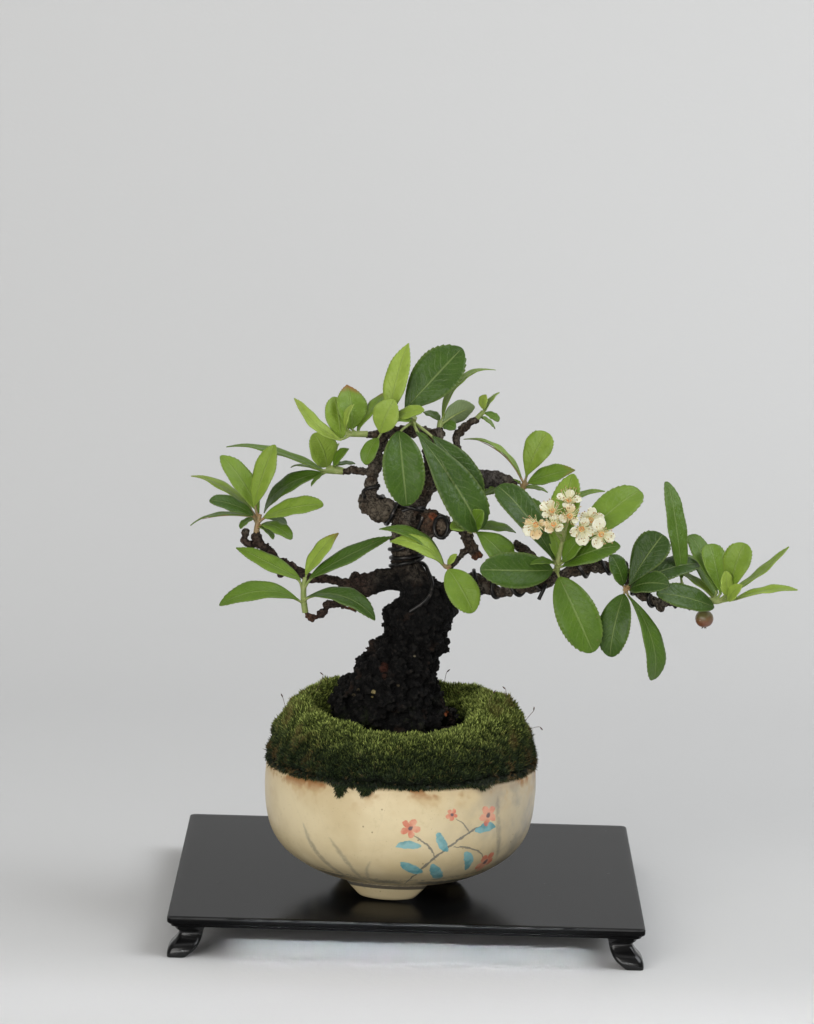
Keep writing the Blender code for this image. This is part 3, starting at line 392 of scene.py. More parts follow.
studio = {
    "front": -1.7,
    "bend": 0.30,
    "curve": 0.45,
    "wall": 1.6,
    "halfWidth": 2.2,
    "paper": ((0.595, 0.593, 0.59), (0.635, 0.633, 0.63)),
    "air": (1.0, 0.99, 0.97),
    "airLight": 0.18,
    "lens": 4737 / 1024 * 36,
    "aside": -0.00028,
    # Place, aim, size, power, colour and how far the light spreads, in metres and degrees
    "lamps": {
        "overhead": (
            (-0.15, -0.05, 1.25), (0.0, 0.0, 0.05), (1.5, 1.3), 2.8,
            (1.0, 1.0, 1.0), 180.0,
        ),
        "leftFront": (
            (-0.8, -1.5, 0.7), (0.05, 0.0, 0.08), (1.2, 1.0), 14.8,
            (1.0, 0.99, 0.96), 180.0,
        ),
        "lowFront": (
            (-0.3, -1.5, 0.25), (0.0, 0.0, 0.04), (1.2, 0.4), 4.3,
            (1.0, 0.99, 0.97), 180.0,
        ),
        "rightTop": (
            (0.95, -0.1, 1.1), (0.3, 0.2, 0.05), (1.0, 0.9), 9.4,
            (0.94, 0.97, 1.0), 180.0,
        ),
        # Two flat beams reach the floor in front of the stand and under it, and spare the bowl
        "floorFront": (
            (0.003, -0.66, 0.15), (0.003, -0.12, 0.0), (1.0, 0.012), 0.036, (0.95, 0.97, 1.0), 3.0,
        ),
        "underBoard": (
            (-0.0192, -0.3802, 0.1254), (-0.0192, -0.0535, 0.0), (0.10, 0.006), 0.0064,
            (0.9, 0.94, 1.0), 3.0,
        ),
        "rightWall": (
            (1.0, -0.5, 1.2), (0.55, 0.5, 0.2), (0.9, 0.8), 5.0,
            (0.94, 0.97, 1.0), 180.0,
        ),
    },
}


def paperPaint():
    paint, at = newPaint("studioPaper")
    weave = at.noise(0.42, 3.0, 0.6)
    # Painted shade: the paper's tone drifts slowly lighter and darker across the sweep, standing in
    # for uneven light on it
    colour = at.noise(0.0013, 2.0, 0.4).smooth(0.3, 0.7).mix(*studio["paper"])
    # Seen from behind, the paper lets the tree be looked at
    seen = 1.0 - at.add("ShaderNodeNewGeometry", output="Backfacing")
    relief = weave.bump(0.25, 0.3)
    return finished(paint, Base_Color=colour, Roughness=0.85, Alpha=seen, Normal=relief)


def makeSweep(paint):
    length = studio["bend"] - studio["front"]
    sweep = added(
        bpy.ops.mesh.primitive_plane_add, size=1.0, paint=paint,
        at=(0.0, studio["front"] + 0.5 * length, 0.0), scale=(2 * studio["halfWidth"], length, 1.0),
    )
    sweep.name = "studioSweep"
    startEditing(sweep)
    pick("edges", lambda e: all(v.co.y > studio["bend"] - 0.01 for v in e.verts))
    centre = (0.0, studio["bend"], studio["curve"])
    bpy.ops.mesh.spin(steps=24, angle=math.radians(-90), center=centre, axis=(1.0, 0.0, 0.0))
    top = max(v.co.z for v in bmesh.from_edit_mesh(sweep.data).verts)
    pick("edges", lambda e: all(abs(v.co.z - top) < 1e-4 for v in e.verts))
    bpy.ops.mesh.extrude_region_move(TRANSFORM_OT_translate={"value": (0.0, 0.0, studio["wall"])})
    takeAll()
    bpy.ops.mesh.normals_make_consistent(inside=True)
    stopEditing()
    bpy.ops.object.shade_smooth()


def makeLamp(name, where, aim, size, power, colour, spread):
    lamp = bpy.data.lights.new(name, "AREA")
    lamp.spread = math.radians(spread)
    lamp.shape = "RECTANGLE"
    lamp.size, lamp.size_y = size
    lamp.energy = power
    lamp.color = colour
    holder = linked(name, lamp)
    holder.location = where
    holder.rotation_euler = (Vector(aim) - Vector(where)).to_track_quat("-Z", "Y").to_euler()
    holder.visible_camera = False


def makeAir():
    world = bpy.data.worlds.new("studioAir")
    world.use_nodes = True
    background = world.node_tree.nodes["Background"]
    background.inputs["Color"].default_value = (*studio["air"], 1.0)
    background.inputs["Strength"].default_value = studio["airLight"]
    bpy.context.scene.world = world


def makeCamera():
    tilt, roll = eye["tilt"], eye["roll"]
    right = Vector((1.0, 0.0, 0.0))
    upward = Vector((0.0, math.sin(tilt), math.cos(tilt)))
    forward = Vector((0.0, math.cos(tilt), -math.sin(tilt)))
    sideAxis = right * math.cos(roll) + upward * math.sin(roll)
    topAxis = upward * math.cos(roll) - right * math.sin(roll)
    stand = Matrix((sideAxis, topAxis, -forward)).transposed().to_4x4()
    stand.translation = eyePoint() + Vector((studio["aside"], 0.0, 0.0))
    camera = bpy.data.cameras.new("frontCamera")
    camera.lens = studio["lens"]
    camera.sensor_width = 36.0
    camera.clip_end = 20.0
    holder = linked("frontCamera", camera)
    holder.matrix_world = stand
    bpy.context.scene.camera = holder


makeSweep(paperPaint())
for name, plan in studio["lamps"].items():
    makeLamp(name, *plan)
makeAir()
makeCamera()
bpy.context.scene.view_settings.view_transform = "Standard"
print("studio ready")


# Stand: a lacquered board on four curled feet

board = {
    "deep": (0.004, 0.004, 0.0042),
    "light": (0.006, 0.006, 0.0062),
    # The worn colour serves the dust specks and also the painted highlight along the board's upper
    # edge
    "worn": (0.050, 0.050, 0.050),
    "gloss": 0.18,
    "boardIor": 1.11,
    "feetIor": 1.41,
}
stand = {
    "side": 137.0,
    "height": 12.0,
    "thickness": 3.0,
    "centre": (2.8, 22.0),
    "cornerRound": 0.22,
    "stepsBetween": 4,
}
# Height, then how far the outer and inner sides stand in from the board's side
footLevels = (
    (8.7, 1.9, 10.9),
    (7.7, 2.6, 10.5),
    (6.8, 3.4, 10.3),
    (5.2, 2.7, 9.9),
    (3.6, 1.1, 9.2),
    (2.2, 0.35, 8.2),
    (1.0, 0.15, 6.7),
    (0.0, 0.2, 5.4),
)


def smoothRows(rows, between):
    # Rows of numbers with a smooth curve through them
    found = []
    for k in range(len(rows) - 1):
        near = [max(0, min(len(rows) - 1, k + j)) for j in (-1, 0, 1, 2)]
        before, here, there, after = (rows[j] for j in near)
        for step in range(between):
            t = step / between
            row = []
            for a, b, c, d in zip(before, here, there, after):
                curve = (2 * b + (c - a) * t + (2 * a - 5 * b + 4 * c - d) * t * t)
                row.append(0.5 * (curve + (3 * b - a - 3 * c + d) * t ** 3))
            found.append(tuple(row))
    return found + [tuple(rows[-1])]


def lacquerPaint(name, ior):
    paint, at = newPaint(name)
    up = at.part("Z")
    specks = at.cells(0.16).smooth(0.16, 0.05) * at.noise(0.05, 2.0).smooth(0.52, 0.62)
    cloudy = at.noise(0.03, 3.0, 0.6)
    # Painted highlight: a fine grey line along the board's rounded upper edge, where it catches the
    # light
    edgeHighlight = up.smooth(11.35, 11.6) * up.smooth(11.97, 11.9) * at.noise(0.12, 3.0).smooth(0.3, 0.6)
    # worn holds the dust specks and the painted highlight of the upper edge
    worn = (specks * 0.4 + edgeHighlight * 0.8).below(1.0)
    colour = worn.mix(cloudy.smooth(0.3, 0.75).mix(board["deep"], board["light"]), board["worn"])
    rough = board["gloss"] + cloudy * 0.03 + worn * 0.25
    return finished(paint, Base_Color=colour, Roughness=rough, IOR=ior)


def drawDown(levels, middle, corner, segments):
    # A square section, given its rounded corners at the first level, drawn down through the
    # rest. Each level is (height, sides' distance, shift of the middle), in millimetres.
    at = middle + Vector((0.0, 0.0, levels[0][0])) * mm
    piece = added(bpy.ops.mesh.primitive_plane_add, size=levels[0][1] * mm, at=at)
    startEditing(piece)
    bpy.ops.mesh.bevel(offset=corner * mm, segments=segments, affect="VERTICES")
    takeAll()
    for (height, side, out), (nextHeight, nextSide, nextOut) in zip(levels, levels[1:]):
        move = Vector((nextOut - out, out - nextOut, nextHeight - height)) * mm
        bpy.ops.mesh.extrude_region_move(TRANSFORM_OT_translate={"value": move})
        at = at + move
        grow = nextSide / side
        bpy.ops.transform.resize(value=(grow, grow, 1.0), center_override=at)
    takeAll()
    bpy.ops.mesh.normals_make_consistent(inside=False)
    return piece


def makeBoard(paint):
    top, base = stand["height"], stand["height"] - stand["thickness"]
    # Height, then how far the edge stands back: a rounded top, and a hollow underneath
    edge = ((top, 0.5), (top - 0.12, 0.2), (top - 0.4, 0.0), (base + 1.5, 0.0), (base + 1.15, 0.12))
    edge += ((base + 0.9, 0.42), (base + 0.6, 0.85), (base + 0.25, 1.1), (base, 1.2))
    levels = [(height, stand["side"] - 2.0 * back, 0.0) for height, back in edge]
    middle = Vector((*stand["centre"], 0.0)) * mm + potAxis
    piece = drawDown(levels, middle, 1.6, 5)
    for side in (1.0, -1.0):
        pick("faces", lambda f: f.normal.z * side > 0.9 and f.calc_area() > 0.01)
        bpy.ops.mesh.inset(thickness=1.5 * mm)
    stopEditing()
    bpy.ops.object.shade_smooth_by_angle(angle=math.radians(40))
    keep(piece, "lacqueredBoard", ["stand_board"], paint)


def makeFoot():
    # The front right foot
    rows = smoothRows(footLevels, stand["stepsBetween"])
    levels = [(height, inner - outer, -0.5 * (outer + inner)) for height, outer, inner in rows]
    corner = 0.5 * stand["side"] + levels[0][2]
    middle = Vector((stand["centre"][0] + corner, stand["centre"][1] - corner, 0.0)) * mm + potAxis
    foot = drawDown(levels, middle, stand["cornerRound"] * levels[0][1], 4)
    low = min(row[0] for row in rows) * mm
    pick("edges", lambda e: all(v.co.z < low + 1e-5 for v in e.verts))
    bpy.ops.mesh.bevel(offset=0.2 * mm, segments=2, affect="EDGES")
    stopEditing()
    bpy.ops.object.shade_smooth_by_angle(angle=math.radians(50))
    return foot


def makeFeet(paint):
    first = makeFoot()
    centre = Vector((*stand["centre"], 0.0)) * mm + potAxis
    corners = (
        ("front_right", 1, 1),
        ("front_left", -1, 1),
        ("back_right", 1, -1),
        ("back_left", -1, -1),
    )
    base = points(first)
    for name, signX, signY in corners:
        found = base.copy()
        found[:, 0] = centre.x + signX * (found[:, 0] - centre.x)
        found[:, 1] = centre.y + signY * (found[:, 1] - centre.y)
        foot = meshCopy(first, found, "foot")
        startEditing(foot)
        bpy.ops.mesh.normals_make_consistent(inside=False)
        stopEditing()
        keep(foot, "curledFoot_" + name, ["stand_foot_" + name], paint)
    bpy.data.objects.remove(first)


makeBoard(lacquerPaint("blackLacquer", board["boardIor"]))
makeFeet(lacquerPaint("feetLacquer", board["feetIor"]))
print("stand ready")


# Bowl

bowl = {
    "height": 37.3,
    "wall": 4.2,
    "footHeight": 4.0,
    "drain": 5.0,
    "turns": 180,
    "wobble": 0.3,
    # The front foot, and two that stand behind the bowl as seen in the photograph
    "footTurns": (-99.4, 42.0, 122.0),
    "glazeLight": (0.71, 0.595, 0.37),
    "glazeDeep": (0.61, 0.49, 0.28),
    "rightShade": (0.36, 0.315, 0.24),
    "straw": (0.50, 0.40, 0.22),
    "speck": (0.13, 0.075, 0.03),
    "stain": (0.50, 0.33, 0.15),
    "rust": (0.30, 0.13, 0.035),
    "darkerBelow": (0.40, 0.32, 0.18),
    "undersideShade": (0.060, 0.055, 0.048),
    "gloss": 0.36,
}
# Radius and height from the rim, of the outside, then of the inside
bowlOutside = (
    (20.5, -33.0),
    (24.5, -31.6),
    (29.5, -29.0),
    (34.2, -25.4),
    (37.6, -20.5),
    (39.3, -14.5),
    (39.9, -7.0),
    (39.7, -1.2),
)
bowlInside = ((35.5, -1.0), (35.1, -14.5), (33.4, -20.5), (30.0, -25.4))

# The brush painting: places are (round the bowl, up from the rim), in millimetres, and each
# stroke runs from one to the next with a bow, a half width and a share of ink.
sprig = {
    "slate": (0.045, 0.062, 0.085),
    "coral": (0.62, 0.115, 0.065),
    "coralPale": (0.74, 0.30, 0.20),
    "turquoise": (0.035, 0.27, 0.33),
    "turquoisePale": (0.17, 0.45, 0.50),
    "stems": (
        ((3.0, -31.0), (25.5, -11.5), 2.6, 0.42, 0.9),
        ((11.5, -21.5), (4.0, -13.5), -1.2, 0.30, 0.85),
        ((16.5, -17.5), (29.5, -22.5), 1.5, 0.30, 0.85),
        ((21.5, -14.0), (16.5, -8.8), -0.6, 0.24, 0.8),
    ),
    "leaves": (
        ((8.5, -25.5), (0.5, -22.0), 0.5, 1.5),
        ((10.5, -22.8), (16.8, -28.2), -0.6, 1.7),
        ((15.0, -18.8), (11.0, -12.6), 0.3, 1.4),
        ((21.0, -19.2), (24.8, -26.0), 0.6, 1.6),
        ((23.0, -13.2), (31.0, -12.6), 0.5, 1.45),
        ((6.8, -16.6), (-0.8, -16.8), -0.4, 1.2),
    ),
    # Middle, radius and turn
    "blossoms": (
        ((3.2, -11.3), 3.1, 0.4),
        ((27.5, -8.9), 3.4, 1.1),
        ((31.4, -24.0), 3.6, 0.2),
        ((15.2, -7.6), 2.0, 0.7),
    ),
    "grass": (
        ((-17.0, -34.0), (-31.0, -13.0), 1.9, 1.25, 0.5),
        ((-14.0, -34.0), (-21.5, -16.0), -1.6, 1.15, 0.45),
        ((-11.5, -33.5), (-8.5, -22.0), 1.2, 0.9, 0.4),
        ((-20.0, -33.0), (-41.0, -25.5), 2.2, 0.8, 0.45),
        ((36.5, -24.0), (31.0, -3.5), 1.4, 1.2, 0.4),
    ),
}


def bowlProfile():
    under = -bowl["height"] + bowl["footHeight"]
    over = under + bowl["wall"]
    rows = [(bowl["drain"], under + 0.4), (bowl["drain"] + 0.4, under)]
    rows += [(12.0, under), (19.0, under)]
    rows += smoothRows(bowlOutside, 4)
    for k in range(1, 8):
        turn = math.pi * k / 8
        rows.append((38.0 + 1.7 * math.cos(turn), -1.2 + 1.2 * math.sin(turn)))
    rows += smoothRows(bowlInside, 2)
    rows += [(20.0, over + 0.5), (bowl["drain"], over)]
    return rows


def makeBowl(paint):
    rows = bowlProfile()
    piece = added(bpy.ops.mesh.primitive_circle_add, vertices=len(rows), radius=0.02)
    axis = potAxis + Vector((0.0, 0.0, rimHeight * mm))
    for vertex, (radius, height) in zip(piece.data.vertices, rows):
        vertex.co = axis + Vector((radius, 0.0, height)) * mm
    startEditing(piece)
    bpy.ops.mesh.spin(steps=bowl["turns"], angle=2 * math.pi, center=axis, axis=(0.0, 0.0, 1.0))
    takeAll()
    bpy.ops.mesh.remove_doubles(threshold=0.02 * mm)
    bpy.ops.mesh.normals_make_consistent(inside=False)
    stopEditing()
    # A hand-thrown wall is never quite round
    addRelief(piece, cloud("handThrown", 22.0), bowl["wobble"], 0.62)
    first = makeBowlFoot()
    feet = []
    for degrees in bowl["footTurns"]:
        turned = points(first) @ turnAbout(math.radians(degrees)).T + np.array(potAxis)
        feet.append(meshCopy(first, turned, "bowlFoot"))
        grown = piece.modifiers.new("foot", "BOOLEAN")
        grown.operation = "UNION"
        grown.solver = "EXACT"
        grown.object = feet[-1]
    applyAll(piece)
    for foot in [first] + feet:
        bpy.data.objects.remove(foot)
    onlySelect(piece)
    bpy.ops.object.shade_smooth_by_angle(angle=math.radians(38))
    keep(piece, "paintedBowl", ["pot"], paint)


def makeBowlFoot():
    # A rounded pad cut from a ring, at angle 0, with its widest part in the bowl
    foot = added(bpy.ops.mesh.primitive_cube_add, size=2.0)
    startEditing(foot)
    bpy.ops.mesh.subdivide(number_cuts=5)
    stopEditing()
    base = rimHeight - bowl["height"]
    # Height, inner radius, outer radius, half the angle it spans
    levels = (
        (base, 15.5, 20.4, 22.0), (base + 0.6, 15.2, 20.9, 23.5), (base + 5.6, 14.5, 23.4, 34.0),
    )
    found = points(foot)
    for k, (x, y, z) in enumerate(found):
        share = 0.5 * (z + 1.0)
        if share < 0.12:
            low, high, t = levels[0], levels[1], share / 0.12
        else:
            low, high, t = levels[1], levels[2], (share - 0.12) / 0.88
        height, inner, outer, half = (a + (b - a) * t for a, b in zip(low, high))
        lift = 0.5 * y * y * (1.0 - share) ** 3
        angle = math.radians(half) * y
        radius = 0.5 * (inner + outer) + 0.5 * (outer - inner) * x
        found[k] = (radius * math.cos(angle), radius * math.sin(angle), height + lift)
    setPoints(foot.data, found * mm)
    rounded = foot.modifiers.new("rounded", "SUBSURF")
    rounded.levels = rounded.render_levels = 2
    applyAll(foot)
    return foot


def strokeMask(across, up, first, last, bow, half, pointed, edge=0.16):
    # A brush stroke between two places: 1 inside, fading over a soft edge
    length = math.dist(first, last)
    c, s = (last[0] - first[0]) / length, (last[1] - first[1]) / length
    along = (across - first[0]) * (c / length) + (up - first[1]) * (s / length)
    beside = (up - first[1]) * c - (across - first[0]) * s
    hump = (along * (1.0 - along)).math("MAXIMUM", 0.0)
    width = hump ** pointed * (half * 4.0 ** pointed)
    return (width - abs(beside - hump * (4.0 * bow))).smooth(-edge * 0.3, edge)


def flowerMask(across, up, middle, radius, turn):
    x = across - middle[0]
    y = up - middle[1]
    reach = (x * x + y * y) ** 0.5
    angle = y.math("ARCTAN2", x) * 2.5 + turn
    lobe = abs(angle.math("COSINE")) ** 0.55
    petals = ((lobe * 0.62 + 0.38) * radius - reach).smooth(0.0, 0.3)
    heart = reach.smooth(0.30 * radius, 0.16 * radius)
    return petals, heart


def largest(masks):
    found = masks[0]
    for mask in masks[1:]:
        found = found.math("MAXIMUM", mask)
    return found


def glazePaint():
    paint, at = newPaint("creamGlaze")
    at = at.moved((-potAxis.x / mm, -potAxis.y / mm, -rimHeight))
    x, y, up = at.part("X"), at.part("Y"), at.part("Z")
    around = x.math("ARCTAN2", 0.0 - y)
    # The painting is repeated on the back of the bowl
    half = around / math.pi
    across = (half - (half + 0.5).math("FLOOR")) * (math.pi * 39.5)
    shake = at.noise(0.55, output=1)
    across = across + (shake.part("X") - 0.5) * 1.3
    up = up + (shake.part("Y") - 0.5) * 1.1

    broad = at.noise(0.06, 3.0, 0.55)
    fine = at.noise(0.5, 4.0, 0.6)
    ink = at.noise(0.9, 3.0, 0.65)
    glaze = broad.smooth(0.32, 0.70).mix(bowl["glazeLight"], bowl["glazeDeep"])
    # Painted shade: the right side of the bowl is painted greyer and darker, in blotches and then
    # all along towards its right edge
    rightShade = at.noise(0.085, 3.0, 0.6).smooth(0.40, 0.66) * x.smooth(6.0, 32.0) * 0.7
    glaze = (rightShade + x.smooth(18.0, 40.0) * 0.5).below(0.9).mix(glaze, bowl["rightShade"])
    glaze = (fine.smooth(0.55, 0.75) * 0.25).mix(glaze, bowl["straw"])
    # Iron specks, a rusty tide line under the moss, and glaze that darkens towards the bottom of
    # the bowl
    specks = at.cells(0.40).smooth(0.16, 0.07) * at.noise(0.22, 1.0).smooth(0.58, 0.64)
    tiny = at.cells(1.5).smooth(0.20, 0.12) * at.noise(0.6, 1.0).smooth(0.58, 0.64)
    glaze = (specks * 0.6 + tiny * 0.35).below(0.85).mix(glaze, bowl["speck"])
    low = at.part("Z")
    tide = (low + at.noise(0.35, 4.0, 0.6) * 3.0).smooth(-2.2, 0.9)
    wash = (low + at.noise(0.12, 3.0, 0.6) * 7.0).smooth(-5.5, 1.5)
    rusty = at.noise(0.10, 3.0, 0.6).smooth(0.52, 0.64)
    glaze = (wash * (rusty * 0.5 + 0.12)).mix(glaze, bowl["stain"])
    glaze = (tide * (rusty * 0.75 + 0.15)).mix(glaze, bowl["rust"])
    darkerBelow = (low + broad * 3.0).smooth(-28.5, -34.0)
    glaze = (darkerBelow * 0.35).mix(glaze, bowl["darkerBelow"])
    # Painted shade: the bowl's underside and the lowest strip of its wall, just above the feet, are
    # painted dark
    bare = low.smooth(-33.55, -33.35) * (low + ink * 0.8).smooth(-31.3, -32.2)
    glaze = (bare * 0.9).mix(glaze, bowl["undersideShade"])

    wet = at.noise(0.28, 2.0, 0.5)
    stems = largest([strokeMask(across, up, *row[:4], 0.22) * row[4] for row in sprig["stems"]])
    grass = [strokeMask(across, up, *row[:4], 0.45, 0.9) * row[4] for row in sprig["grass"]]
    grass = largest(grass)
    leaves = largest([strokeMask(across, up, *row, 0.62) for row in sprig["leaves"]])
    flowers = [flowerMask(across, up, *row) for row in sprig["blossoms"]]
    petals = largest([row[0] for row in flowers])
    hearts = largest([row[1] for row in flowers])
    lowBand = abs(up + 30.3 + (across * 0.05).math("SINE") * 0.5).smooth(1.0, 0.45)
    lowBand = lowBand * at.noise(0.10, 1.0).smooth(0.36, 0.48)
    thinBand = abs(up + 28.6 + (across * 0.09).math("COSINE") * 0.6).smooth(0.36, 0.12)
    thinBand = thinBand * ink.smooth(0.42, 0.56)
    slate = largest([stems, grass * ink.smooth(0.18, 0.5), lowBand * 0.8, thinBand * 0.6])

    colour = (slate * (0.62 + ink * 0.36)).mix(glaze, sprig["slate"])
    leafColour = wet.smooth(0.35, 0.65).mix(sprig["turquoise"], sprig["turquoisePale"])
    colour = (leaves * (0.62 + ink * 0.45)).below(1.0).mix(colour, leafColour)
    petalColour = wet.smooth(0.40, 0.62).mix(sprig["coral"], sprig["coralPale"])
    colour = (petals * (0.55 + ink * 0.45)).below(1.0).mix(colour, petalColour)
    colour = (hearts * 0.85).mix(colour, sprig["slate"])

    rough = bowl["gloss"] + fine * 0.14 + tide * 0.3 - leaves * 0.04
    relief = broad * 0.7 + fine * 0.18 + at.noise(2.2, 2.0) * 0.08 - specks * 0.12
    return finished(
        paint, Base_Color=colour, Roughness=rough, Normal=relief.bump(0.5, 0.5),
        Coat_Weight=0.25, Coat_Roughness=0.22,
    )


makeBowl(glazePaint())
print("bowl ready")


# Soil

soilLook = {"wet": (0.010, 0.007, 0.005), "dry": (0.045, 0.030, 0.020), "grains": 520}


def soilPaint():
    paint, at = newPaint("dampSoil")
    crumbs = at.cells(0.9)
    patches = at.noise(0.25, 3.0, 0.6)
    colour = (patches * 0.6 + crumbs * 0.5).smooth(0.25, 0.75).mix(soilLook["wet"], soilLook["dry"])
    relief = crumbs * 0.6 + at.noise(1.8, 4.0, 0.7) * 0.5
    rough = 0.8 + patches * 0.2
    return finished(paint, Base_Color=colour, Roughness=rough, Normal=relief.bump(0.8, 0.9))


def makeSoil(paint):
    # The soil's solid keeps its shape, and loose grains lie on it where it can be seen
    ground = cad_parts["soil"]
    ground.data.materials.clear()
    ground.data.materials.append(paint)
    grain, corners = taken(added(bpy.ops.mesh.primitive_ico_sphere_add, subdivisions=1, radius=1.0))
    top = treeOf(ground)
    cover = treeOf(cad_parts["moss"])
    wood = treeOf(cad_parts["trunk"])
    draw = random.Random(21)
    down = Vector((0.0, 0.0, -1.0))
    laid = []
    while len(laid) < soilLook["grains"]:
        angle = draw.uniform(0.0, 2.0 * math.pi)
        reach = draw.uniform(9.0, 26.0)
        spot = Vector((reach * math.cos(angle) - 2.5, reach * math.sin(angle), 120.0))
        over = potAxis + spot * mm
        hit, _, _, far = top.ray_cast(over, down)
        if hit is None or cover.ray_cast(over, down, far)[0]:
            continue
        if wood.find_nearest(hit)[3] < 0.2 * mm:
            continue
        size = draw.uniform(0.25, 0.95) * mm
        squash = np.array([draw.uniform(0.6, 1.2) for _ in range(3)])
        angle = draw.uniform(0, 6.28)
        turn = turnAbout(angle, Vector([draw.gauss(0, 1) for _ in range(3)]))
        laid.append((grain * squash * size) @ turn.T + np.array(hit) + (0.0, 0.0, 0.15 * size))
    return meshFrom("looseGrains", laid, corners, paint)


def meshFrom(name, laid, corners, paint, values=None):
    # Many copies of one small shape as one piece
    count = len(laid[0])
    made = np.concatenate(laid)
    faces = np.concatenate([corners + k * count for k in range(len(laid))])
    mesh = bpy.data.meshes.new(name)
    mesh.vertices.add(len(made))
    mesh.vertices.foreach_set("co", made.astype(np.float32).ravel())
    mesh.loops.add(faces.size)
    mesh.loops.foreach_set("vertex_index", faces.astype(np.int32).ravel())
    mesh.polygons.add(len(faces))
    mesh.polygons.foreach_set("loop_start", np.arange(0, faces.size, 3, dtype=np.int32))
    mesh.polygons.foreach_set("use_smooth", np.zeros(len(faces), bool))
    mesh.update(calc_edges=True)
    mesh.validate()
    for key, found in (values or {}).items():
        setValue(mesh, key, found)
    return keep(linked(name, mesh), name, (), paint)


makeSoil(soilPaint())
print("soil ready")


# Moss

mossLook = {
    "voxel": 0.75,
    # The roll along the rim: its radius, and half its thickness
    "roll": (36.7, 2.0),
    # Lumps of the mound: size, strength, middle
    "relief": {"moss_lumps": (7.0, 3.4, 0.66), "moss_knobs": (2.6, 1.9, 0.72)},
    # Leaflets of a tuft: turn, lean, length
    "leaflets": ((10.0, 14.0, 1.0), (130.0, 30.0, 0.82), (250.0, 42.0, 0.7)),
    # Half the ellipse round the trunk that stays free of tufts, and its shift
    "bare": (19.0, 16.0, -4.0),
    "tufts": 45000,
    "lengths": (1.0, 2.3),
    "fringe": 2600,
    # Where moss hangs over the rim in front: across, reach, spread, tufts
    "hanging": ((-17.6, 3.4, 1.2, 150), (-10.4, 2.4, 1.7, 150), (24.0, 1.2, 1.6, 40)),
    # deep and low are painted shade colours, for the roots of the leaflets and the lower moss, and
    # tip is the pale tip colour that painted highlight brightens on the high moss
    "deep": (0.005, 0.008, 0.003),
    "low": (0.016, 0.029, 0.010),
    "green": (0.066, 0.092, 0.013),
    "tip": (0.540, 0.640, 0.160),
    "brown": (0.130, 0.080, 0.030),
}


def mossPaint(name, onTufts):
    paint, at = newPaint(name)
    if onTufts:
        tip = at.stored("mossTip")
        shade = at.stored("mossTone")
    else:
        tip = at.noise(1.2, 3.0, 0.6).smooth(0.4, 0.9)
        shade = at.noise(0.4, 3.0, 0.6)
    patch = at.noise(0.16, 3.0, 0.6)
    aside = abs(at.part("X") - potAxis.x / mm)
    # Painted shade: moss low on the mound is painted darker, the high moss greener
    high = (at.part("Z") + (patch - 0.5) * 12.0).smooth(rimHeight + 5.5, rimHeight + 18.0)
    body = high.mix(mossLook["low"], mossLook["green"])
    # Painted shade: each leaflet darkens to near black at its root, down among the tufts
    colour = tip.smooth(0.0, 0.8).mix(mossLook["deep"], body)
    # The pale tips are the moss's own, and painted highlight makes them brighter on the high moss
    lit = tip.smooth(0.30, 1.0) * (0.06 + shade ** 3.0 * 2.6) * (high * 0.9 + 0.10)
    colour = lit.below(1.0).mix(colour, mossLook["tip"])
    brown = (patch + shade * 0.12).smooth(0.56, 0.68) * aside.smooth(20.0, 32.0) * 0.6
    brown = brown + shade.smooth(0.93, 0.98) * 0.4
    colour = brown.below(0.9).mix(colour, mossLook["brown"])
    if not onTufts:
        finished(paint, Normal=at.noise(1.6, 4.0, 0.7).bump(1.0, 1.0))
    rough = 0.62 if onTufts else 0.95
    return finished(paint, Base_Color=colour, Roughness=rough, Specular_IOR_Level=0.22)


def makeMound(paint):
    # The mound under the tufts: the moss solid rounded and roughened, with a roll on the rim
    mound = weldedCopy("moss", "mossMound")
    stopEditing()
    reach, half = mossLook["roll"]
    roll = added(
        bpy.ops.mesh.primitive_torus_add, major_segments=96, minor_segments=12,
        major_radius=reach * mm, minor_radius=half * mm,
        at=potAxis + Vector((0.0, 0.0, rimHeight + 1.9)) * mm,
    )
    roll.data.uv_layers.remove(roll.data.uv_layers[0])
    mound = joined([mound, roll])
    addRemesh(mound, mossLook["voxel"], 6)
    for name, (size, strength, middle) in mossLook["relief"].items():
        addRelief(mound, cloud(name, size), strength, middle)
    applyAll(mound)
    return keep(mound, "mossMound", ["moss"], paint)


def mossTuft():
    # Leaning three-sided leaflets, 12 faces in all
    leaflets = []
    fromRoot = {"center_override": (0.0, 0.0, 0.0)}
    for spin, lean, length in mossLook["leaflets"]:
        leaflet = added(
            bpy.ops.mesh.primitive_cone_add, vertices=3, radius1=0.16, radius2=0.0, depth=length,
            at=(0.0, 0.0, 0.5 * length),
        )
        startEditing(leaflet)
        bpy.ops.transform.rotate(value=math.radians(lean), orient_axis="X", **fromRoot)
        bpy.ops.transform.rotate(value=math.radians(spin), orient_axis="Z", **fromRoot)
        stopEditing()
        leaflets.append(leaflet)
    return taken(joined(leaflets))


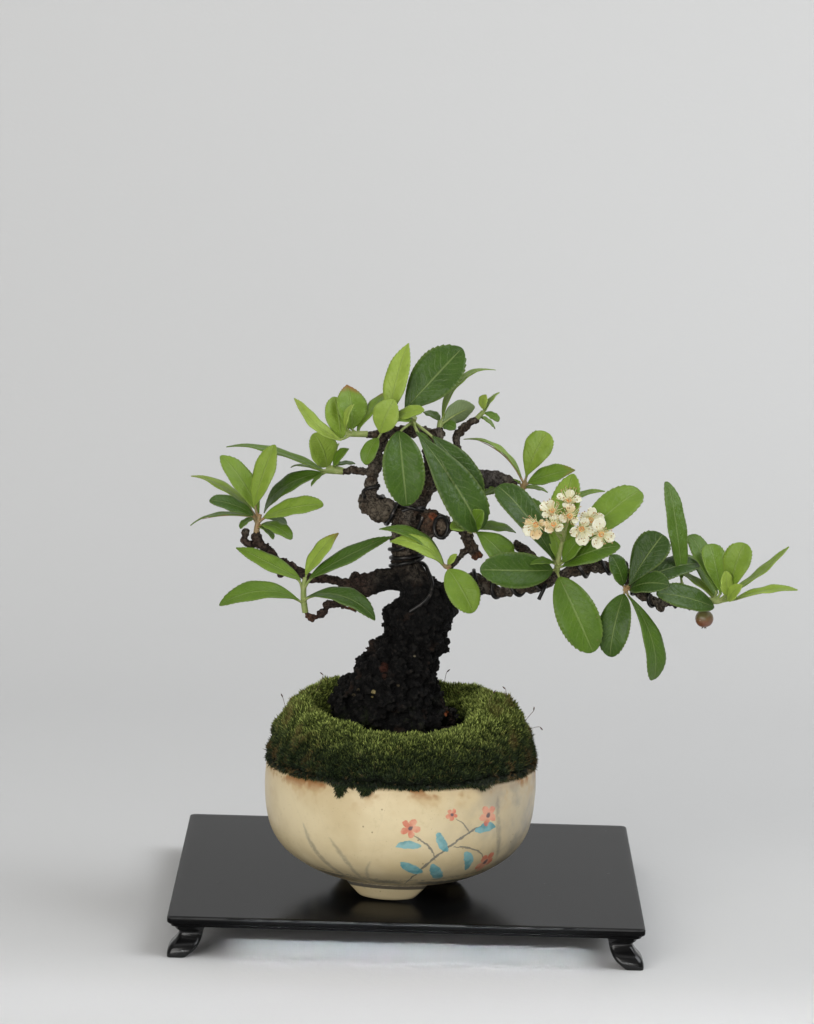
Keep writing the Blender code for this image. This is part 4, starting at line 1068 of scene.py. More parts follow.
def makeTufts(mound, paint):
    shape, corners = mossTuft()
    draw = np.random.default_rng(8)
    mesh = mound.data
    mesh.calc_loop_triangles()
    spots = points(mound)
    tris = np.array([tuple(t.vertices) for t in mesh.loop_triangles])
    a, b, c = spots[tris[:, 0]], spots[tris[:, 1]], spots[tris[:, 2]]
    facing = np.cross(b - a, c - a)
    area = np.linalg.norm(facing, axis=1)
    facing = facing / area[:, None]
    middle = (a + b + c) / 3.0 - np.array(potAxis)
    height = middle[:, 2] / mm - rimHeight
    # None underneath, where the mound lies on the soil, and none at the trunk's foot
    wide, deep, shift = mossLook["bare"]
    beside, behind = (middle[:, 0] / mm - shift) / wide, middle[:, 1] / mm / deep
    shown = (facing[:, 2] > -0.25) & (height > -0.5) & (beside ** 2 + behind ** 2 > 1.0)
    chance = area * shown
    picked = draw.choice(len(tris), mossLook["tufts"], p=chance / chance.sum())
    first, second = draw.random(len(picked)), draw.random(len(picked))
    flip = first + second > 1.0
    first[flip], second[flip] = 1.0 - first[flip], 1.0 - second[flip]
    where = a[picked] + first[:, None] * (b - a)[picked] + second[:, None] * (c - a)[picked]
    outward = facing[picked]
    grow = outward * 0.55 + np.array((0.0, 0.0, 0.55)) + draw.normal(0.0, 0.25, (len(picked), 3))
    grow = unit(grow)
    length = draw.uniform(*mossLook["lengths"], len(picked)) * mm
    where, grow, length, outward = addHanging(draw, where, grow, length, outward)
    where = where - outward * 0.25 * mm
    spin = draw.uniform(0.0, 2.0 * math.pi, len(where))
    side = unit(np.cross(grow, draw.normal(0.0, 1.0, (len(where), 3))))
    third = np.cross(grow, side)
    turned = np.cos(spin)[:, None] * side + np.sin(spin)[:, None] * third
    frames = np.stack([turned, np.cross(grow, turned), grow], axis=1)
    laid = np.einsum("vj,tjk->tvk", shape, frames) * length[:, None, None] + where[:, None, :]
    tip = np.tile(np.clip(shape[:, 2], 0.0, 1.0), (len(where), 1))
    tone = np.repeat(draw.random(len(where))[:, None], len(shape), axis=1)
    # Three pieces, so that none is too heavy
    angle = np.arctan2(where[:, 1] - potAxis.y, where[:, 0] - potAxis.x)
    order = np.argsort(angle)
    for number, part in enumerate(np.array_split(order, 3)):
        values = {"mossTip": tip[part].ravel(), "mossTone": tone[part].ravel()}
        meshFrom(f"mossTufts_{number + 1}", list(laid[part]), corners, paint, values)


def addHanging(draw, where, grow, length, outward):
    # Tufts that creep over the rim and hang, low in front
    spots = []
    for across, reach, spread, count in mossLook["hanging"]:
        for _ in range(count):
            drop = reach * draw.random() ** 1.6
            beside = draw.normal(0.0, spread) * (1.0 - 0.8 * drop / reach)
            angle = math.asin((across + beside) / 40.2)
            spots.append((40.0 * math.sin(angle), -40.0 * math.cos(angle), rimHeight + 0.6 - drop))
    # A fringe all round hides the rim, and swells and thins as it goes
    for _ in range(mossLook["fringe"]):
        angle = draw.uniform(0.0, 2.0 * math.pi)
        lower = 0.5 + 0.45 * math.sin(5.0 * angle + 0.7) + 0.35 * math.sin(13.0 * angle)
        radius = draw.uniform(37.8, 39.6)
        height = rimHeight + 1.9 - (radius - 37.6) * 0.5 - lower * draw.uniform(0.0, 0.9)
        spots.append((radius * math.sin(angle), -radius * math.cos(angle), height))
    spots = np.array(spots) * mm + np.array(potAxis)
    out = spots - np.array(potAxis)
    out[:, 2] = 0.0
    out = unit(out)
    droop = unit(out * 0.45 + np.array((0.0, 0.0, -0.8)) + draw.normal(0.0, 0.25, out.shape))
    longer = draw.uniform(1.0, 1.9, len(spots)) * mm
    pairs = ((where, spots), (grow, droop), (length, longer), (outward, out))
    return [np.concatenate(pair) for pair in pairs]


mound = makeMound(mossPaint("mossUnderneath", False))
makeTufts(mound, mossPaint("mossLeaflets", True))
print("moss ready")


# Trunk, limbs and training wires

bark = {
    "voxel": 0.37,
    "cutBelow": 56.5,
    "neck": 103.0,
    "char": (0.0036, 0.0034, 0.0033),
    "charHighlight": (0.020, 0.017, 0.0145),
    "grey": (0.125, 0.105, 0.083),
    "brown": (0.056, 0.038, 0.026),
    "crack": (0.010, 0.008, 0.007),
    "living": ((0.030, 0.017, 0.014), (0.100, 0.062, 0.050)),
    "crest": (0.22, 0.19, 0.15),
    "ash": (0.20, 0.16, 0.10),
    "rust": (0.035, 0.020, 0.013),
    "algae": (0.030, 0.042, 0.012),
    # How far up the damp green goes
    "green": (72.0, 58.0),
    # Lumps and stubs with a tone of their own: across, up, behind, radius, colour
    "tinted": (
        (-8.0, 73.9, -3.0, 5.5, (0.14, 0.115, 0.085)),
        (6.2, 70.0, -4.5, 4.6, (0.095, 0.050, 0.030)),
        (10.2, 69.4, -5.5, 2.4, (0.16, 0.12, 0.085)),
        (21.0, 60.8, -5.0, 2.6, (0.15, 0.055, 0.025)),
        (-16.0, 44.2, -5.6, 2.8, (0.17, 0.060, 0.028)),
        (-28.5, 41.8, -8.6, 3.4, (0.13, 0.065, 0.042)),
        (7.4, 72.6, -5.0, 2.0, (0.40, 0.085, 0.022)),
        (22.0, 83.9, 7.0, 9.0, (0.085, 0.075, 0.070)),
    ),
    # Flecks on the front of the trunk, in the same way
    "flecks": (
        (-5.9, 26.6, -11.0, 1.6, (0.075, 0.026, 0.017)),
        (-5.6, 24.4, -11.0, 0.9, (0.050, 0.022, 0.015)),
        (-8.7, 19.7, -12.0, 0.75, (0.46, 0.37, 0.17)),
        (-9.0, 18.1, -12.0, 0.45, (0.30, 0.24, 0.10)),
        (3.1, 30.6, -9.0, 0.5, (0.25, 0.22, 0.15)),
        (13.0, 13.2, -9.0, 0.8, (0.30, 0.085, 0.028)),
    ),
    # Layers of relief: texture's size, depth and kind, then group, strength and middle
    "relief": {
        "charLumps": (4.2, 2, "CLOUDS", "charred", 4.2, 0.52),
        "charKnobs": (2.5, 2, "VORONOI", "charred", -2.6, 0.26),
        "charCrumbs": (1.0, 2, "VORONOI", "charred", -1.1, 0.26),
        "gnarls": (2.8, 3, "CLOUDS", "living", 2.3, 0.40),
        "burls": (2.6, 2, "VORONOI", "living", -0.8, 0.26),
        "wrinkles": (0.8, 2, "CLOUDS", "living", 0.95, 0.48),
    },
}
# Knobs along the outline of the trunk and limbs: across, up, behind, radius
barkKnobs = (
    (-4.4, 43.2, 0.0, 2.5), (-7.8, 35.4, 0.5, 1.2), (-9.2, 29.8, 0.0, 2.2),
    (-12.6, 27.6, 0.0, 1.6), (-15.2, 25.2, 0.0, 1.6), (11.3, 33.2, 1.0, 1.4),
    (-6.0, 39.5, -2.0, 1.5), (-18.8, 16.8, -2.0, 2.8), (-14.4, 52.8, -0.6, 2.2),
    (-14.0, 50.4, -0.8, 2.0), (-12.4, 53.2, 0.0, 2.0), (14.2, 13.2, -1.0, 2.2),
)
# Trunk rings: across, up, behind, half width across, half width in depth
trunkRings = (
    (-3.5, 9.1, 0.0, 17.5, 13.5), (-4.0, 13.0, 0.0, 17.8, 13.8), (-4.3, 19.5, 0.0, 17.0, 13.0),
    (-2.9, 24.5, 0.0, 13.2, 11.5), (-1.7, 28.5, 0.0, 11.7, 10.5), (0.5, 31.5, 0.5, 10.5, 9.8),
    (2.8, 35.0, 1.0, 10.3, 9.5), (3.8, 38.5, 1.0, 9.9, 9.0), (4.4, 42.0, 1.0, 10.4, 9.2),
    (4.8, 45.3, 1.0, 11.1, 9.0), (6.0, 48.0, 1.0, 9.2, 8.0), (5.6, 50.5, 1.0, 7.9, 7.0),
    (3.2, 53.0, 1.0, 6.3, 5.8), (1.2, 55.5, 1.0, 5.3, 5.0), (0.1, 58.0, 1.0, 3.8, 4.1),
    (-0.2, 61.5, 1.0, 3.15, 3.5), (-0.3, 65.5, 1.0, 3.7, 4.0), (0.0, 70.0, 0.5, 4.5, 4.5),
    (0.3, 74.5, 0.5, 4.3, 4.2), (3.0, 78.0, 1.5, 3.5, 3.5), (5.5, 82.0, 2.0, 3.0, 3.0),
    (7.0, 87.0, 2.0, 2.6, 2.6), (6.5, 92.0, 1.0, 2.3, 2.3), (5.0, 96.8, 0.5, 1.6, 1.6),
)
limbs = {
    "crownBar": (
        (9.4, 95.6, 1.0, 1.5), (5.0, 97.0, 0.5, 1.7), (0.0, 97.3, 0.0, 1.6),
        (-5.0, 96.5, -1.0, 1.5), (-9.0, 95.5, -1.5, 1.4), (-13.0, 96.0, -2.0, 1.1),
    ),
    "crownStub": ((6.2, 95.0, 0.0, 1.3), (6.4, 91.6, -3.0, 1.1)),
    "crownMiddleSpur": ((-6.8, 96.5, -1.3, 1.0), (-6.9, 98.7, -2.2, 0.85)),
    "crownCentreSpur": ((0.2, 97.3, 0.0, 1.0), (0.5, 99.3, -1.4, 0.9)),
    "crownBackSpur": ((8.4, 95.8, 1.0, 1.1), (8.6, 97.9, 3.0, 0.9)),
    "upperLeft": (
        (-1.0, 71.5, 0.0, 3.0), (-4.0, 73.0, 0.0, 2.7), (-6.5, 73.8, 0.0, 3.7),
        (-9.5, 73.9, 0.0, 3.9), (-12.0, 75.3, 0.5, 2.6), (-11.5, 79.0, 1.0, 1.9),
        (-10.5, 84.0, 1.5, 1.7), (-9.2, 90.0, 0.5, 1.5), (-8.2, 95.0, -1.0, 1.3),
    ),
    "leftTierTwig": ((-10.5, 84.3, 1.5, 1.3), (-15.0, 85.4, 4.0, 1.25), (-19.5, 84.6, 6.0, 1.1)),
    "redLump": ((5.6, 66.2, -1.3, 2.2), (6.2, 70.0, -1.8, 3.3), (6.6, 73.6, -1.8, 2.2)),
    "roundKnob": ((7.0, 69.6, -1.5, 2.4), (10.2, 69.3, -2.8, 3.5), (12.4, 69.6, -2.4, 2.2)),
    "knobTwig": (
        (11.0, 69.9, -2.4, 1.6), (14.5, 69.8, -3.0, 1.3), (17.3, 67.6, -4.0, 1.5),
        (18.1, 64.5, -5.0, 2.0), (19.6, 62.8, -5.0, 2.0), (21.2, 60.6, -5.0, 1.4),
    ),
    "knobTwigBud": ((17.4, 66.6, -4.0, 1.0), (18.2, 67.4, -6.0, 0.85)),
    "thinTwig": (
        (18.2, 63.6, -5.0, 1.1), (16.0, 61.2, -7.0, 0.95), (14.3, 59.2, -9.0, 0.85),
        (12.9, 57.6, -10.5, 0.8),
    ),
    "rightStub": (
        (6.0, 81.6, 2.0, 2.4), (11.0, 83.0, 3.0, 2.2), (18.0, 83.9, 5.0, 2.25),
        (23.0, 83.9, 7.0, 2.35), (26.6, 83.4, 8.4, 2.1), (28.4, 83.2, 8.8, 1.5),
    ),
    "rightUpperTwig": (
        (24.0, 82.4, 8.0, 1.3), (26.8, 79.0, 9.5, 0.95), (30.6, 77.6, 10.5, 0.9),
        (32.4, 80.2, 10.0, 1.0),
    ),
    "topRightTwig": (
        (6.8, 88.5, 2.0, 1.6), (11.0, 90.5, 4.0, 1.4), (13.8, 92.5, 5.5, 1.25),
        (13.7, 96.0, 6.5, 1.1), (16.5, 99.3, 7.8, 1.1), (19.6, 101.3, 9.0, 0.9),
    ),
    "rightBranch": (
        (8.0, 48.5, 1.0, 4.2), (13.0, 50.0, -0.5, 3.3), (17.0, 52.8, -2.5, 2.8),
        (21.5, 53.6, -4.5, 2.6), (24.5, 52.0, -5.5, 2.1), (28.0, 50.8, -6.5, 1.9),
        (33.0, 51.8, -7.5, 1.8), (38.0, 52.4, -8.0, 1.7), (43.0, 54.8, -8.0, 1.6),
        (48.0, 57.2, -7.5, 1.6), (53.0, 58.2, -7.0, 1.5), (59.0, 59.0, -6.5, 1.5),
        (64.0, 58.6, -6.0, 1.5), (66.8, 55.0, -6.0, 1.4), (68.5, 51.8, -6.0, 1.4),
        (72.0, 49.6, -6.2, 1.4), (77.0, 49.0, -6.0, 1.3), (83.0, 49.4, -5.5, 1.3),
        (88.5, 50.0, -5.0, 1.15),
    ),
    "floweringSpur": ((44.0, 55.2, -8.0, 1.2), (44.2, 56.9, -9.8, 1.0)),
    "rightDeadStub": (
        (42.5, 55.0, -7.8, 1.4), (38.5, 60.0, -4.5, 1.45), (34.0, 63.5, -1.0, 1.6),
        (31.6, 64.8, 1.0, 1.5),
    ),
    "rightMiddleSpur": ((66.8, 54.4, -6.0, 1.1), (65.3, 53.1, -8.2, 0.9)),
    "uprightSpur": ((81.0, 49.3, -5.7, 1.0), (81.2, 51.6, -5.8, 0.8)),
    "pointedTwig": ((73.5, 49.2, -6.2, 1.0), (75.4, 46.6, -7.0, 0.6)),
    "darkTip": ((83.5, 49.2, -5.5, 1.0), (83.6, 46.2, -6.5, 0.8)),
    "leftBranch": (
        (0.0, 53.6, 1.0, 3.6), (-4.0, 53.4, 0.5, 3.4), (-7.5, 53.0, 0.0, 3.2),
        (-10.5, 52.2, 0.0, 3.3), (-13.0, 51.4, -0.5, 2.3), (-16.5, 51.2, -1.0, 1.2),
        (-19.5, 53.0, -1.0, 1.95), (-22.5, 53.4, -1.0, 1.95), (-26.0, 53.1, -1.0, 1.45),
        (-29.5, 53.5, -0.5, 1.35), (-33.0, 55.5, 0.5, 1.3), (-37.0, 58.0, 1.5, 1.3),
        (-41.0, 61.0, 3.0, 1.25), (-44.0, 63.5, 4.0, 1.2), (-44.6, 65.6, 4.2, 1.1),
    ),
    "leftShortStub": ((-36.0, 57.2, 1.2, 1.0), (-37.0, 53.6, 0.5, 0.8)),
    "leftBluntStub": (
        (-42.8, 62.6, 3.5, 1.0), (-46.2, 62.0, 3.0, 1.1), (-47.8, 63.4, 2.6, 1.2),
        (-47.9, 66.6, 2.4, 1.1),
    ),
    "leftLowTwig": (
        (-11.0, 50.0, -0.5, 1.7), (-14.0, 48.0, -2.0, 1.3), (-17.0, 46.4, -3.0, 1.2),
        (-20.0, 46.5, -4.5, 1.2), (-22.3, 45.2, -6.0, 1.2), (-24.5, 42.2, -7.0, 1.2),
        (-28.0, 41.0, -8.2, 1.15), (-29.6, 43.4, -9.2, 1.0),
    ),
    "leftRedStub": ((-20.0, 46.3, -4.5, 0.9), (-17.5, 44.6, -5.5, 0.8), (-14.2, 43.8, -6.0, 0.75)),
}
# Each wire: the limb that it goes round, its route as (place along the limb, degrees round it)
# and a straight tail
wires = {
    "wire_trunk": (
        "trunk",
        (
            (8.8, -23), (10.4, 3), (12.5, 64), (13.3, 110), (13.9, 180), (14.3, 350), (14.55, 540),
            (14.75, 720), (15.0, 900), (15.4, 1060), (16.2, 1130), (16.9, 1165), (17.6, 1260),
            (18.1, 1440), (18.4, 1530),
        ),
        (),
    ),
    "wire_upper_left": (
        "upperLeft", ((1.05, 110), (1.3, -90), (2.6, -180), (3.9, -275), (4.7, -325)), (),
    ),
    "wire_right_inner": (
        "rightBranch", ((1.7, 0), (7.3, 1485)),
        ((41.6, 54.0, -11.0), (40.4, 51.4, -11.2), (39.2, 48.7, -11.0)),
    ),
    "wire_right_outer": ("rightBranch", ((8.7, 90), (12.9, 1305), (16.4, 2205)), ()),
}
wireLook = {
    "radius": 0.58,
    "step": 15.0,
    "colour": (0.018, 0.017, 0.0165),
    "worn": (0.11, 0.095, 0.085),
    "gloss": 0.26,
}
# The ring of wire that lies on the round knob
knobRing = {"middle": (9.9, 69.2), "half": (2.1, 3.3), "behind": -6.2, "steps": 14}
# Short lengths that are seen on the front of the limbs: across, up
wireLengths = (
    ((-8.6, 80.9), (-9.8, 80.5), (-11.4, 80.1), (-12.9, 79.7), (-13.7, 78.6), (-12.8, 77.3)),
    ((-1.6, 73.6), (-0.2, 74.3), (2.4, 74.6), (4.6, 74.7)),
    ((4.4, 72.0), (3.7, 69.9), (2.8, 67.8), (2.1, 65.8)),
)


def barkPaint():
    paint, at = newPaint("gnarledBark")
    up = at.part("Z")
    coarse = at.noise(0.30, 4.0, 0.6)
    fine = at.noise(1.3, 4.0, 0.65)
    cells = abs(at.noise(0.50, 4.0, 0.65) - 0.5) * 3.0
    aside = at.part("X") - potAxis.x / mm
    burnt = (up + coarse * 14.0).smooth(bark["neck"] + 19.0, bark["neck"] + 5.0)
    onTrunk = (aside + coarse * 6.0).smooth(-10.0, -4.0) * (aside + coarse * 6.0).smooth(24.0, 17.0)
    burnt = burnt * onTrunk.math("MAXIMUM", up.smooth(bark["neck"] - 18.0, bark["neck"] - 22.0))
    # Brown-grey bark with dark cracks on the limbs
    limbColour = coarse.smooth(0.38, 0.64).mix(bark["brown"], bark["grey"])
    cracks = cells.smooth(0.16, 0.02)
    reddish = aside.smooth(-6.0, -12.0) * up.smooth(bark["neck"] + 14.0, bark["neck"] + 10.0)
    living = fine.mix(*bark["living"])
    limbColour = (reddish * 0.75).mix(limbColour, living)
    limbColour = (cracks * 0.85).mix(limbColour, bark["crack"])
    crests = fine.smooth(0.56, 0.74) * (1.0 - reddish * 0.7)
    limbColour = crests.mix(limbColour, bark["crest"])
    bend = at.add("ShaderNodeNewGeometry", output="Pointiness")
    for *spot, radius, colour in bark["tinted"]:
        middle = {0: at, 1: tuple(place(*spot) / mm)}
        near = at.add("ShaderNodeVectorMath", middle, 1, operation="DISTANCE")
        near = (near + (coarse - 0.5) * radius * 0.9).smooth(radius, radius * 0.45)
        limbColour = (near * 0.8 * (1.0 - cracks * 0.7)).mix(limbColour, colour)
    # Painted shade: where the bark curves in, in its hollows, it is darkened to the colour of the
    # cracks
    limbColour = (bend.smooth(0.49, 0.42) * 0.85).mix(limbColour, bark["crack"])
    # Charred, crumbling bark low down
    # Painted highlight: the crests of the charred crumbs are painted lighter and greyer
    crests = bend.smooth(0.50, 0.60) * fine.smooth(0.35, 0.65)
    burntColour = crests.mix(bark["char"], bark["charHighlight"])
    flecks = at.cells(0.16).smooth(0.13, 0.06) * at.noise(0.10, 1.0).smooth(0.56, 0.60)
    burntColour = (flecks * 0.7).mix(burntColour, bark["ash"])
    rusty = at.noise(0.16, 3.0).smooth(0.60, 0.70) * 0.5
    burntColour = rusty.mix(burntColour, bark["rust"])
    green = at.noise(0.22, 3.0, 0.6).smooth(0.56, 0.68) * up.smooth(*bark["green"])
    burntColour = (green * 0.6).mix(burntColour, bark["algae"])
    inFront = at.part("Y").smooth(-20.0, -26.0)
    for *spot, radius, colour in bark["flecks"]:
        spot = place(*spot) / mm
        beside, above = at.part("X") - spot.x, up - spot.z
        near = (beside * beside + above * above) ** 0.5 + (fine - 0.5) * radius
        near = near.smooth(radius, radius * 0.5) * inFront
        burntColour = (near * 0.85).mix(burntColour, colour)
    colour = burnt.mix(limbColour, burntColour)
    rough = 0.75 + fine * 0.25 - burnt * at.noise(0.9, 2.0).smooth(0.45, 0.62) * 0.32
    relief = fine * 0.55 + coarse * 0.35 + cells.smooth(0.0, 0.25) * 0.35
    relief = (relief + at.noise(4.0, 3.0, 0.7) * 0.25).bump(0.75, 0.9)
    return finished(
        paint, Base_Color=colour, Roughness=rough, Normal=relief, Specular_IOR_Level=0.16
    )


def makeTrunk(paint):
    wood = weldedCopy("trunk", "trunkAndLimbs")
    # The plug that stands in the soil is never seen
    takeAll()
    cut = {"plane_co": (0.0, 0.0, bark["cutBelow"] * mm), "plane_no": (0.0, 0.0, 1.0)}
    bpy.ops.mesh.bisect(use_fill=True, clear_inner=True, **cut)
    stopEditing()
    knobs = []
    for *spot, radius in barkKnobs:
        knob = added(
            bpy.ops.mesh.primitive_ico_sphere_add, subdivisions=2, radius=radius * mm,
            at=place(*spot),
        )
        knob.data.uv_layers.remove(knob.data.uv_layers[0])
        knobs.append(knob)
    wood = joined([wood] + knobs)
    addRemesh(wood, bark["voxel"], 4)
    applyAll(wood)
    # Charred lumps are strong low down, and the upper bark is finer
    rise = (points(wood)[:, 2] / mm - (bark["neck"] - 14.0)) / 20.0
    low = 1.0 - np.clip(rise, 0.0, 1.0)
    for name, weights in (("charred", low), ("living", 1.0 - low)):
        group = wood.vertex_groups.new(name=name)
        for step in range(11):
            chosen = np.nonzero(np.round(weights * 10).astype(int) == step)[0]
            group.add(chosen.tolist(), step / 10.0, "REPLACE")
    for name, (size, depth, kind, group, strength, middle) in bark["relief"].items():
        addRelief(wood, cloud(name, size, depth, kind), strength, middle, group)
    applyAll(wood)
    return keep(wood, "trunkAndLimbs", ["trunk"], paint)


def pathOf(name):
    rows = trunkRings if name == "trunk" else limbs[name]
    return [place(*row[:3]) for row in rows], [max(row[3:]) for row in rows]


def around(path, where):
    low = min(int(where), len(path) - 2)
    rest = where - low
    point = path[low].lerp(path[low + 1], rest)
    near = (path[low + 1] - path[max(low - 1, 0)]).normalized()
    far = (path[min(low + 2, len(path) - 1)] - path[low]).normalized()
    return point, near.lerp(far, rest).normalized()


def crossing(direction, reference=Vector((0.0, -1.0, 0.0))):
    # Two directions square to this one
    if abs(direction.dot(reference)) > 0.95:
        reference = Vector((1.0, 0.0, 0.0))
    side = (reference - direction * reference.dot(direction)).normalized()
    return side, direction.cross(side).normalized()


def winding(route, step):
    rows = []
    for (here, angle), (there, nextAngle) in zip(route, route[1:]):
        count = max(1, round(abs(nextAngle - angle) / step))
        for k in range(count):
            turned = angle + (nextAngle - angle) * k / count
            rows.append((here + (there - here) * k / count, turned))
    rows.append(route[-1])
    return rows


def wirePaint():
    paint, at = newPaint("darkWire")
    worn = at.noise(0.5, 3.0, 0.6)
    colour = worn.smooth(0.5, 0.75).mix(wireLook["colour"], wireLook["worn"])
    rough = wireLook["gloss"] + worn * 0.2
    relief = at.noise(1.6, 2.0).bump(0.08, 0.5)
    return finished(paint, Base_Color=colour, Metallic=0.7, Roughness=rough, Normal=relief)


def woundLine(surface, limb, route, tail):
    path, radii = pathOf(limb)
    reaches = []
    for where, degrees in winding(route, wireLook["step"]):
        middle, direction = around(path, where)
        side, across = crossing(direction)
        angle = math.radians(degrees)
        outwards = side * math.cos(angle) + across * math.sin(angle)
        furthest = (1.5 * radii[round(where)] + 1.2) * mm
        hit = surface.ray_cast(middle + outwards * furthest, -outwards, furthest)
        reaches.append((middle, outwards, furthest - hit[3] if hit[0] else mm))
    line = []
    for k, (middle, outwards, _) in enumerate(reaches):
        near = [row[2] for row in reaches[max(k - 2, 0):k + 3]]
        lift = 0.25 * max(near) + 0.75 * sum(near) / len(near) + wireLook["radius"] * mm
        line.append(middle + outwards * lift)
    return line + [place(*spot) for spot in tail]


def knobLine():
    (across, up), (wide, high) = knobRing["middle"], knobRing["half"]
    line = []
    for k in range(knobRing["steps"] + 2):
        turn = 2.0 * math.pi * k / knobRing["steps"]
        behind = knobRing["behind"] + 1.2 * math.cos(turn) ** 2 - 0.15 * k / knobRing["steps"]
        line.append(place(across + wide * math.cos(turn), up + high * math.sin(turn), behind))
    return line


def pressedLine(surface, spots):
    # Each spot is moved along the sight line until it meets the bark
    line, behind = [], -1.0
    for spot in spots:
        near = place(*spot, -40.0)
        hit = surface.ray_cast(near, (place(*spot) - near).normalized(), 60.0 * mm)
        behind = (hit[0].y - potAxis.y) / mm if hit[0] else behind + 1.2
        line.append(place(*spot, behind - 0.7 * wireLook["radius"]))
    return line


def makeWires(wood, paint):
    surface = treeOf(wood)
    for name, plan in wires.items():
        lines = [woundLine(surface, *plan)]
        if name == "wire_upper_left":
            lines.append(knobLine())
            lines += [pressedLine(surface, spots) for spots in wireLengths]
        lines = [[(point, wireLook["radius"]) for point in line] for line in lines]
        keep(softTube("wire", lines, 3, 2), titled(name), [name], paint)


wood = makeTrunk(barkPaint())
makeWires(wood, wirePaint())
print("trunk and wires ready")


# Leafy shoots

leafLook = {
    "stations": 54,
    "columns": 8,
    "teeth": 18,
    "tooth": 0.055,
    "thickness": 0.34,
    "fold": math.radians(15.0),
    "wave": 0.20,
    # The midrib's radius at shares of the blade's length
    "midribLine": ((0.0, 0.36), (0.14, 0.33), (0.34, 0.26), (0.58, 0.18), (0.80, 0.10)),
    # From the palest young leaf to the darkest old one
    "tones": (
        (0.0, (0.300, 0.405, 0.062)),
        (0.25, (0.172, 0.270, 0.026)),
        (0.5, (0.092, 0.172, 0.012)),
        (0.75, (0.050, 0.108, 0.008)),
        (1.0, (0.025, 0.058, 0.006)),
    ),
    "vein": (0.28, 0.38, 0.10),
    "net": (0.26, 0.36, 0.10),
    "midrib": (0.32, 0.40, 0.14),
    "margin": (0.27, 0.34, 0.10),
    "mark": (0.16, 0.12, 0.05),
    "underneath": (0.24, 0.31, 0.13),
    "underOld": (0.13, 0.19, 0.075),
    "underVein": (0.34, 0.40, 0.19),
    "tipColour": (0.30, 0.095, 0.035),
    "stemGreen": ((0.20, 0.27, 0.06), (0.29, 0.33, 0.11)),
    "stemBrown": ((0.34, 0.20, 0.085), (0.29, 0.24, 0.12)),
    "stemSpots": (0.12, 0.085, 0.04),
    "gloss": 0.34,
}
# How wide a blade is along its length: the powers at its base and at its tip
leafKinds = {
    "lance": (0.90, 0.95), "rhomb": (0.95, 0.68), "broad": (1.15, 0.45), "oval": (0.64, 0.52),
}

